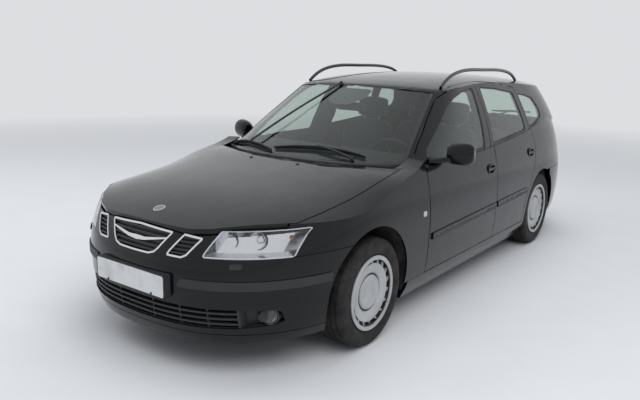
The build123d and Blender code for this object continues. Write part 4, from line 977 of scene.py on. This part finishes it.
def dashboard_vents():
    """Four air vents with bright rims on the CAD dashboard."""
    panel = Skin("dashboard")
    vents = (("left_vent", 0.57, 0.11), ("right_vent", -0.57, 0.11), ("centre_left_vent", 0.075, 0.12),
             ("centre_right_vent", -0.075, 0.12))
    for name, x, wide in vents:
        y = panel.under("back", x, 0.80)[0].y
        left, right = x - wide / 2, x + wide / 2
        corners = [(left, VENT_LOW), (right, VENT_LOW), (right, VENT_HIGH), (left, VENT_HIGH)]
        path = [Vector((p.x, y, p.y)) for p in rounded(corners, 0.02, 0.02)]
        rim = swept(path, [Vector((0, 1, 0))] * len(path), bead(0.010, 0.006, 0.002), True)
        piece(name + "_rim", rim, "bright_trim", "body")
        lows = [VENT_LOW + 0.017 + 0.016 * k for k in range(VENT_SLATS)]
        slats = [block((left + 0.004, y - 0.002, z), (right - 0.004, y + 0.004, z + 0.006)) for z in lows]
        piece(name + "_slats", merged(*slats), "interior_plastic", "body", bevel=0.001)


# ---------------------------------------------------------------- rear


def tail_details():
    """Bands on the tail lamps, the handle strip, the high stop lamp and the rear wiper."""
    lamps = Skin("tail_lamps")
    bands = (("indicator", 0.845, 0.885, "lamp_amber"), ("reverse", 0.795, 0.838, "lamp_white"))
    for name, low, high, finish in bands:
        shape = rounded([(0.655, low), (0.752, low), (0.752, high), (0.655, high)], 0.008, 0.012)
        pair(f"tail_{name}", lamps.panel("back", shape, 0.0012, 0.003, 0.012), finish, "body")
    gate = Skin("tailgate")
    strip = rounded([(-0.29, 0.874), (0.29, 0.874), (0.28, 0.894), (-0.28, 0.894)], 0.008, 0.03)
    strip = gate.panel("back", strip, 0.012, 0.014, 0.03)
    piece("tailgate_handle_strip", strip, "gloss_black", "tailgate", bevel=0.003)
    window = Skin("tailgate_glass")
    high = rounded([(-0.13, 1.300), (0.13, 1.300), (0.125, 1.322), (-0.125, 1.322)], 0.006, 0.02)
    high = window.panel("back", high, 0.004, 0.006, 0.02)
    piece("high_stop_lamp", high, "lamp_red", "tailgate", bevel=0.001)
    run = [(0.02 + 0.40 * k / 12, 1.035 + 0.015 * k / 12) for k in range(13)]
    path, ups = window.laid("back", run, 0.006)
    piece("rear_wiper_rubber", swept(path, ups, WIPER_RUBBER), "tyre_rubber", "tailgate")
    bow = bowed(path, ups, 0.010, 0.008)
    piece("rear_wiper_blade", swept(bow, ups, WIPER_BLADE), "black_plastic", "tailgate")
    root, up = gate.under("back", 0.0, 0.975)
    end = bow[6] + ups[6] * 0.006
    arm = bowed([root.lerp(end, k / 8) for k in range(9)], [up] * 9, 0.008, 0.018)
    piece("rear_wiper_arm", swept(arm, [up] * 9, WIPER_ARM), "black_plastic", "tailgate")
    cap = [(0, 0.018), (0.012, 0.016), (0.018, 0.006), (0.018, -0.003), (0, -0.003)]
    piece("rear_wiper_pivot", turned(cap, root, up, 28), "black_plastic", "tailgate")


# ---------------------------------------------------------------- camera, lamps, floor

CAMERA_PLACE = (2.6574, -4.3325, 1.6052)
CAMERA_YAW = -36.419
CAMERA_PITCH = -12.772
CAMERA_ROLL = 1.296
CAMERA_LENS = 37.10
PALE = (0.72, 0.73, 0.75)
FADE_START = 4.5
FADE_END = 12.0
CAR_MIDDLE = (0, 0, 0.5)


def set_camera():
    """Camera at the photo's place and angle."""
    data = bpy.data.cameras.new("camera")
    data.lens = CAMERA_LENS
    data.sensor_width = 36.0
    data.clip_start = 0.05
    camera = bpy.data.objects.new("camera", data)
    yaw, pitch, roll = (math.radians(a) for a in (CAMERA_YAW, CAMERA_PITCH, CAMERA_ROLL))
    forward = Vector((math.sin(yaw) * math.cos(pitch), math.cos(yaw) * math.cos(pitch), math.sin(pitch)))
    right = forward.cross(Vector((0, 0, 1))).normalized()
    up = right.cross(forward)
    across = right * math.cos(roll) + up * math.sin(roll)
    above = up * math.cos(roll) - right * math.sin(roll)
    facing = Matrix((across, above, -forward)).transposed().to_4x4()
    camera.matrix_world = Matrix.Translation(CAMERA_PLACE) @ facing
    bpy.context.scene.collection.objects.link(camera)
    bpy.context.scene.camera = camera


def lamp(name, place, size, power):
    """Soft lamp aimed at the car, which lights it but isn't mirrored in its paint and glass."""
    data = bpy.data.lights.new(name, "AREA")
    data.shape = "RECTANGLE"
    data.size, data.size_y = size
    data.energy = power
    made = bpy.data.objects.new(name, data)
    made.location = place
    made.visible_glossy = False
    made.visible_transmission = False
    made.rotation_euler = (Vector(CAR_MIDDLE) - Vector(place)).to_track_quat("-Z", "Y").to_euler()
    bpy.context.scene.collection.objects.link(made)


def seen_background(tree):
    """One where a ray shows what is behind the object: straight, mirrored or through glass."""
    path = tree.nodes.new("ShaderNodeLightPath")
    seen = path.outputs["Is Camera Ray"]
    for name in ("Is Glossy Ray", "Is Transmission Ray"):
        either = tree.nodes.new("ShaderNodeMath")
        either.operation = "MAXIMUM"
        tree.links.new(seen, either.inputs[0])
        tree.links.new(path.outputs[name], either.inputs[1])
        seen = either.outputs[0]
    return seen


def set_world():
    """Pale backdrop, which lights the car a little less than it shows."""
    world = bpy.data.worlds.new("world")
    bpy.context.scene.world = world
    world.use_nodes = True
    tree = world.node_tree
    background = tree.nodes["Background"]
    mix = tree.nodes.new("ShaderNodeMix")
    mix.data_type = "RGBA"
    tree.links.new(seen_background(tree), mix.inputs["Factor"])
    mix.inputs["A"].default_value = (0.5, 0.52, 0.55, 1)
    mix.inputs["B"].default_value = (*PALE, 1)
    tree.links.new(mix.outputs["Result"], background.inputs["Color"])
    background.inputs["Strength"].default_value = 1.0


def set_floor():
    """Pale floor that fades into the backdrop's colour well away from the car."""
    mesh = bpy.data.meshes.new("floor")
    far = 60.0
    mesh.from_pydata([(-far, -far, 0), (far, -far, 0), (far, far, 0), (-far, far, 0)], [], [(0, 1, 2, 3)])
    floor = bpy.data.objects.new("floor", mesh)
    bpy.context.scene.collection.objects.link(floor)
    t = Tree("floor", (0.66, 0.67, 0.69), Roughness=0.9, Specular_IOR_Level=0.1)
    grain = t.noise(3.0, 5.0)
    t.put("Base Color", t.blend(grain, (0.64, 0.65, 0.67), (0.68, 0.69, 0.71)))
    distance = t.node("VectorMath", operation="LENGTH")
    t.link(t.coordinates, distance.inputs[0])
    fade = t.ramp(distance.outputs["Value"], FADE_START, FADE_END, 0.0, 1.0)
    glow = t.node("Emission")
    glow.inputs["Color"].default_value = (*PALE, 1)
    mix = t.node("MixShader")
    t.link(fade, mix.inputs["Fac"])
    t.link(t.shader.outputs["BSDF"], mix.inputs[1])
    t.link(glow.outputs["Emission"], mix.inputs[2])
    t.link(mix.outputs["Shader"], t.output.inputs["Surface"])
    mesh.materials.append(t.material)


finish_cad()
number_plate("front_plate", Skin("bumpers"), "front", 0.466, along(-0.022), "body")
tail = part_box("tailgate")[1][1]
number_plate("rear_plate", Skin("tailgate", "bumpers"), "back", 0.788, tail - 0.020, "tailgate")
round_badge("bonnet_badge", Skin("bonnet"), "top", 0.0, along(0.187), 0.032, "bonnet")
round_badge("tailgate_badge", Skin("tailgate"), "back", 0.0, 0.935, 0.030, "tailgate")
headlamps()
fog_lamps()
wipers()
washer_jets()
inner_mirror()
seals()
side_markers()
rub_strips()
mirrors()
for corner in ("front_left", "front_right", "rear_left", "rear_right"):
    tyre(corner + "_tyre")
wheel_details()
seats()
dashboard_vents()
tail_details()
bpy.context.scene.view_settings.view_transform = "Standard"
set_camera()
set_world()
set_floor()
lamp("key", (4.5, -3.5, 6.5), (6, 6), 315)
lamp("fill", (-6.0, -3.0, 5.0), (5, 5), 160)
lamp("top", (0.0, 1.5, 7.0), (5, 7), 190)
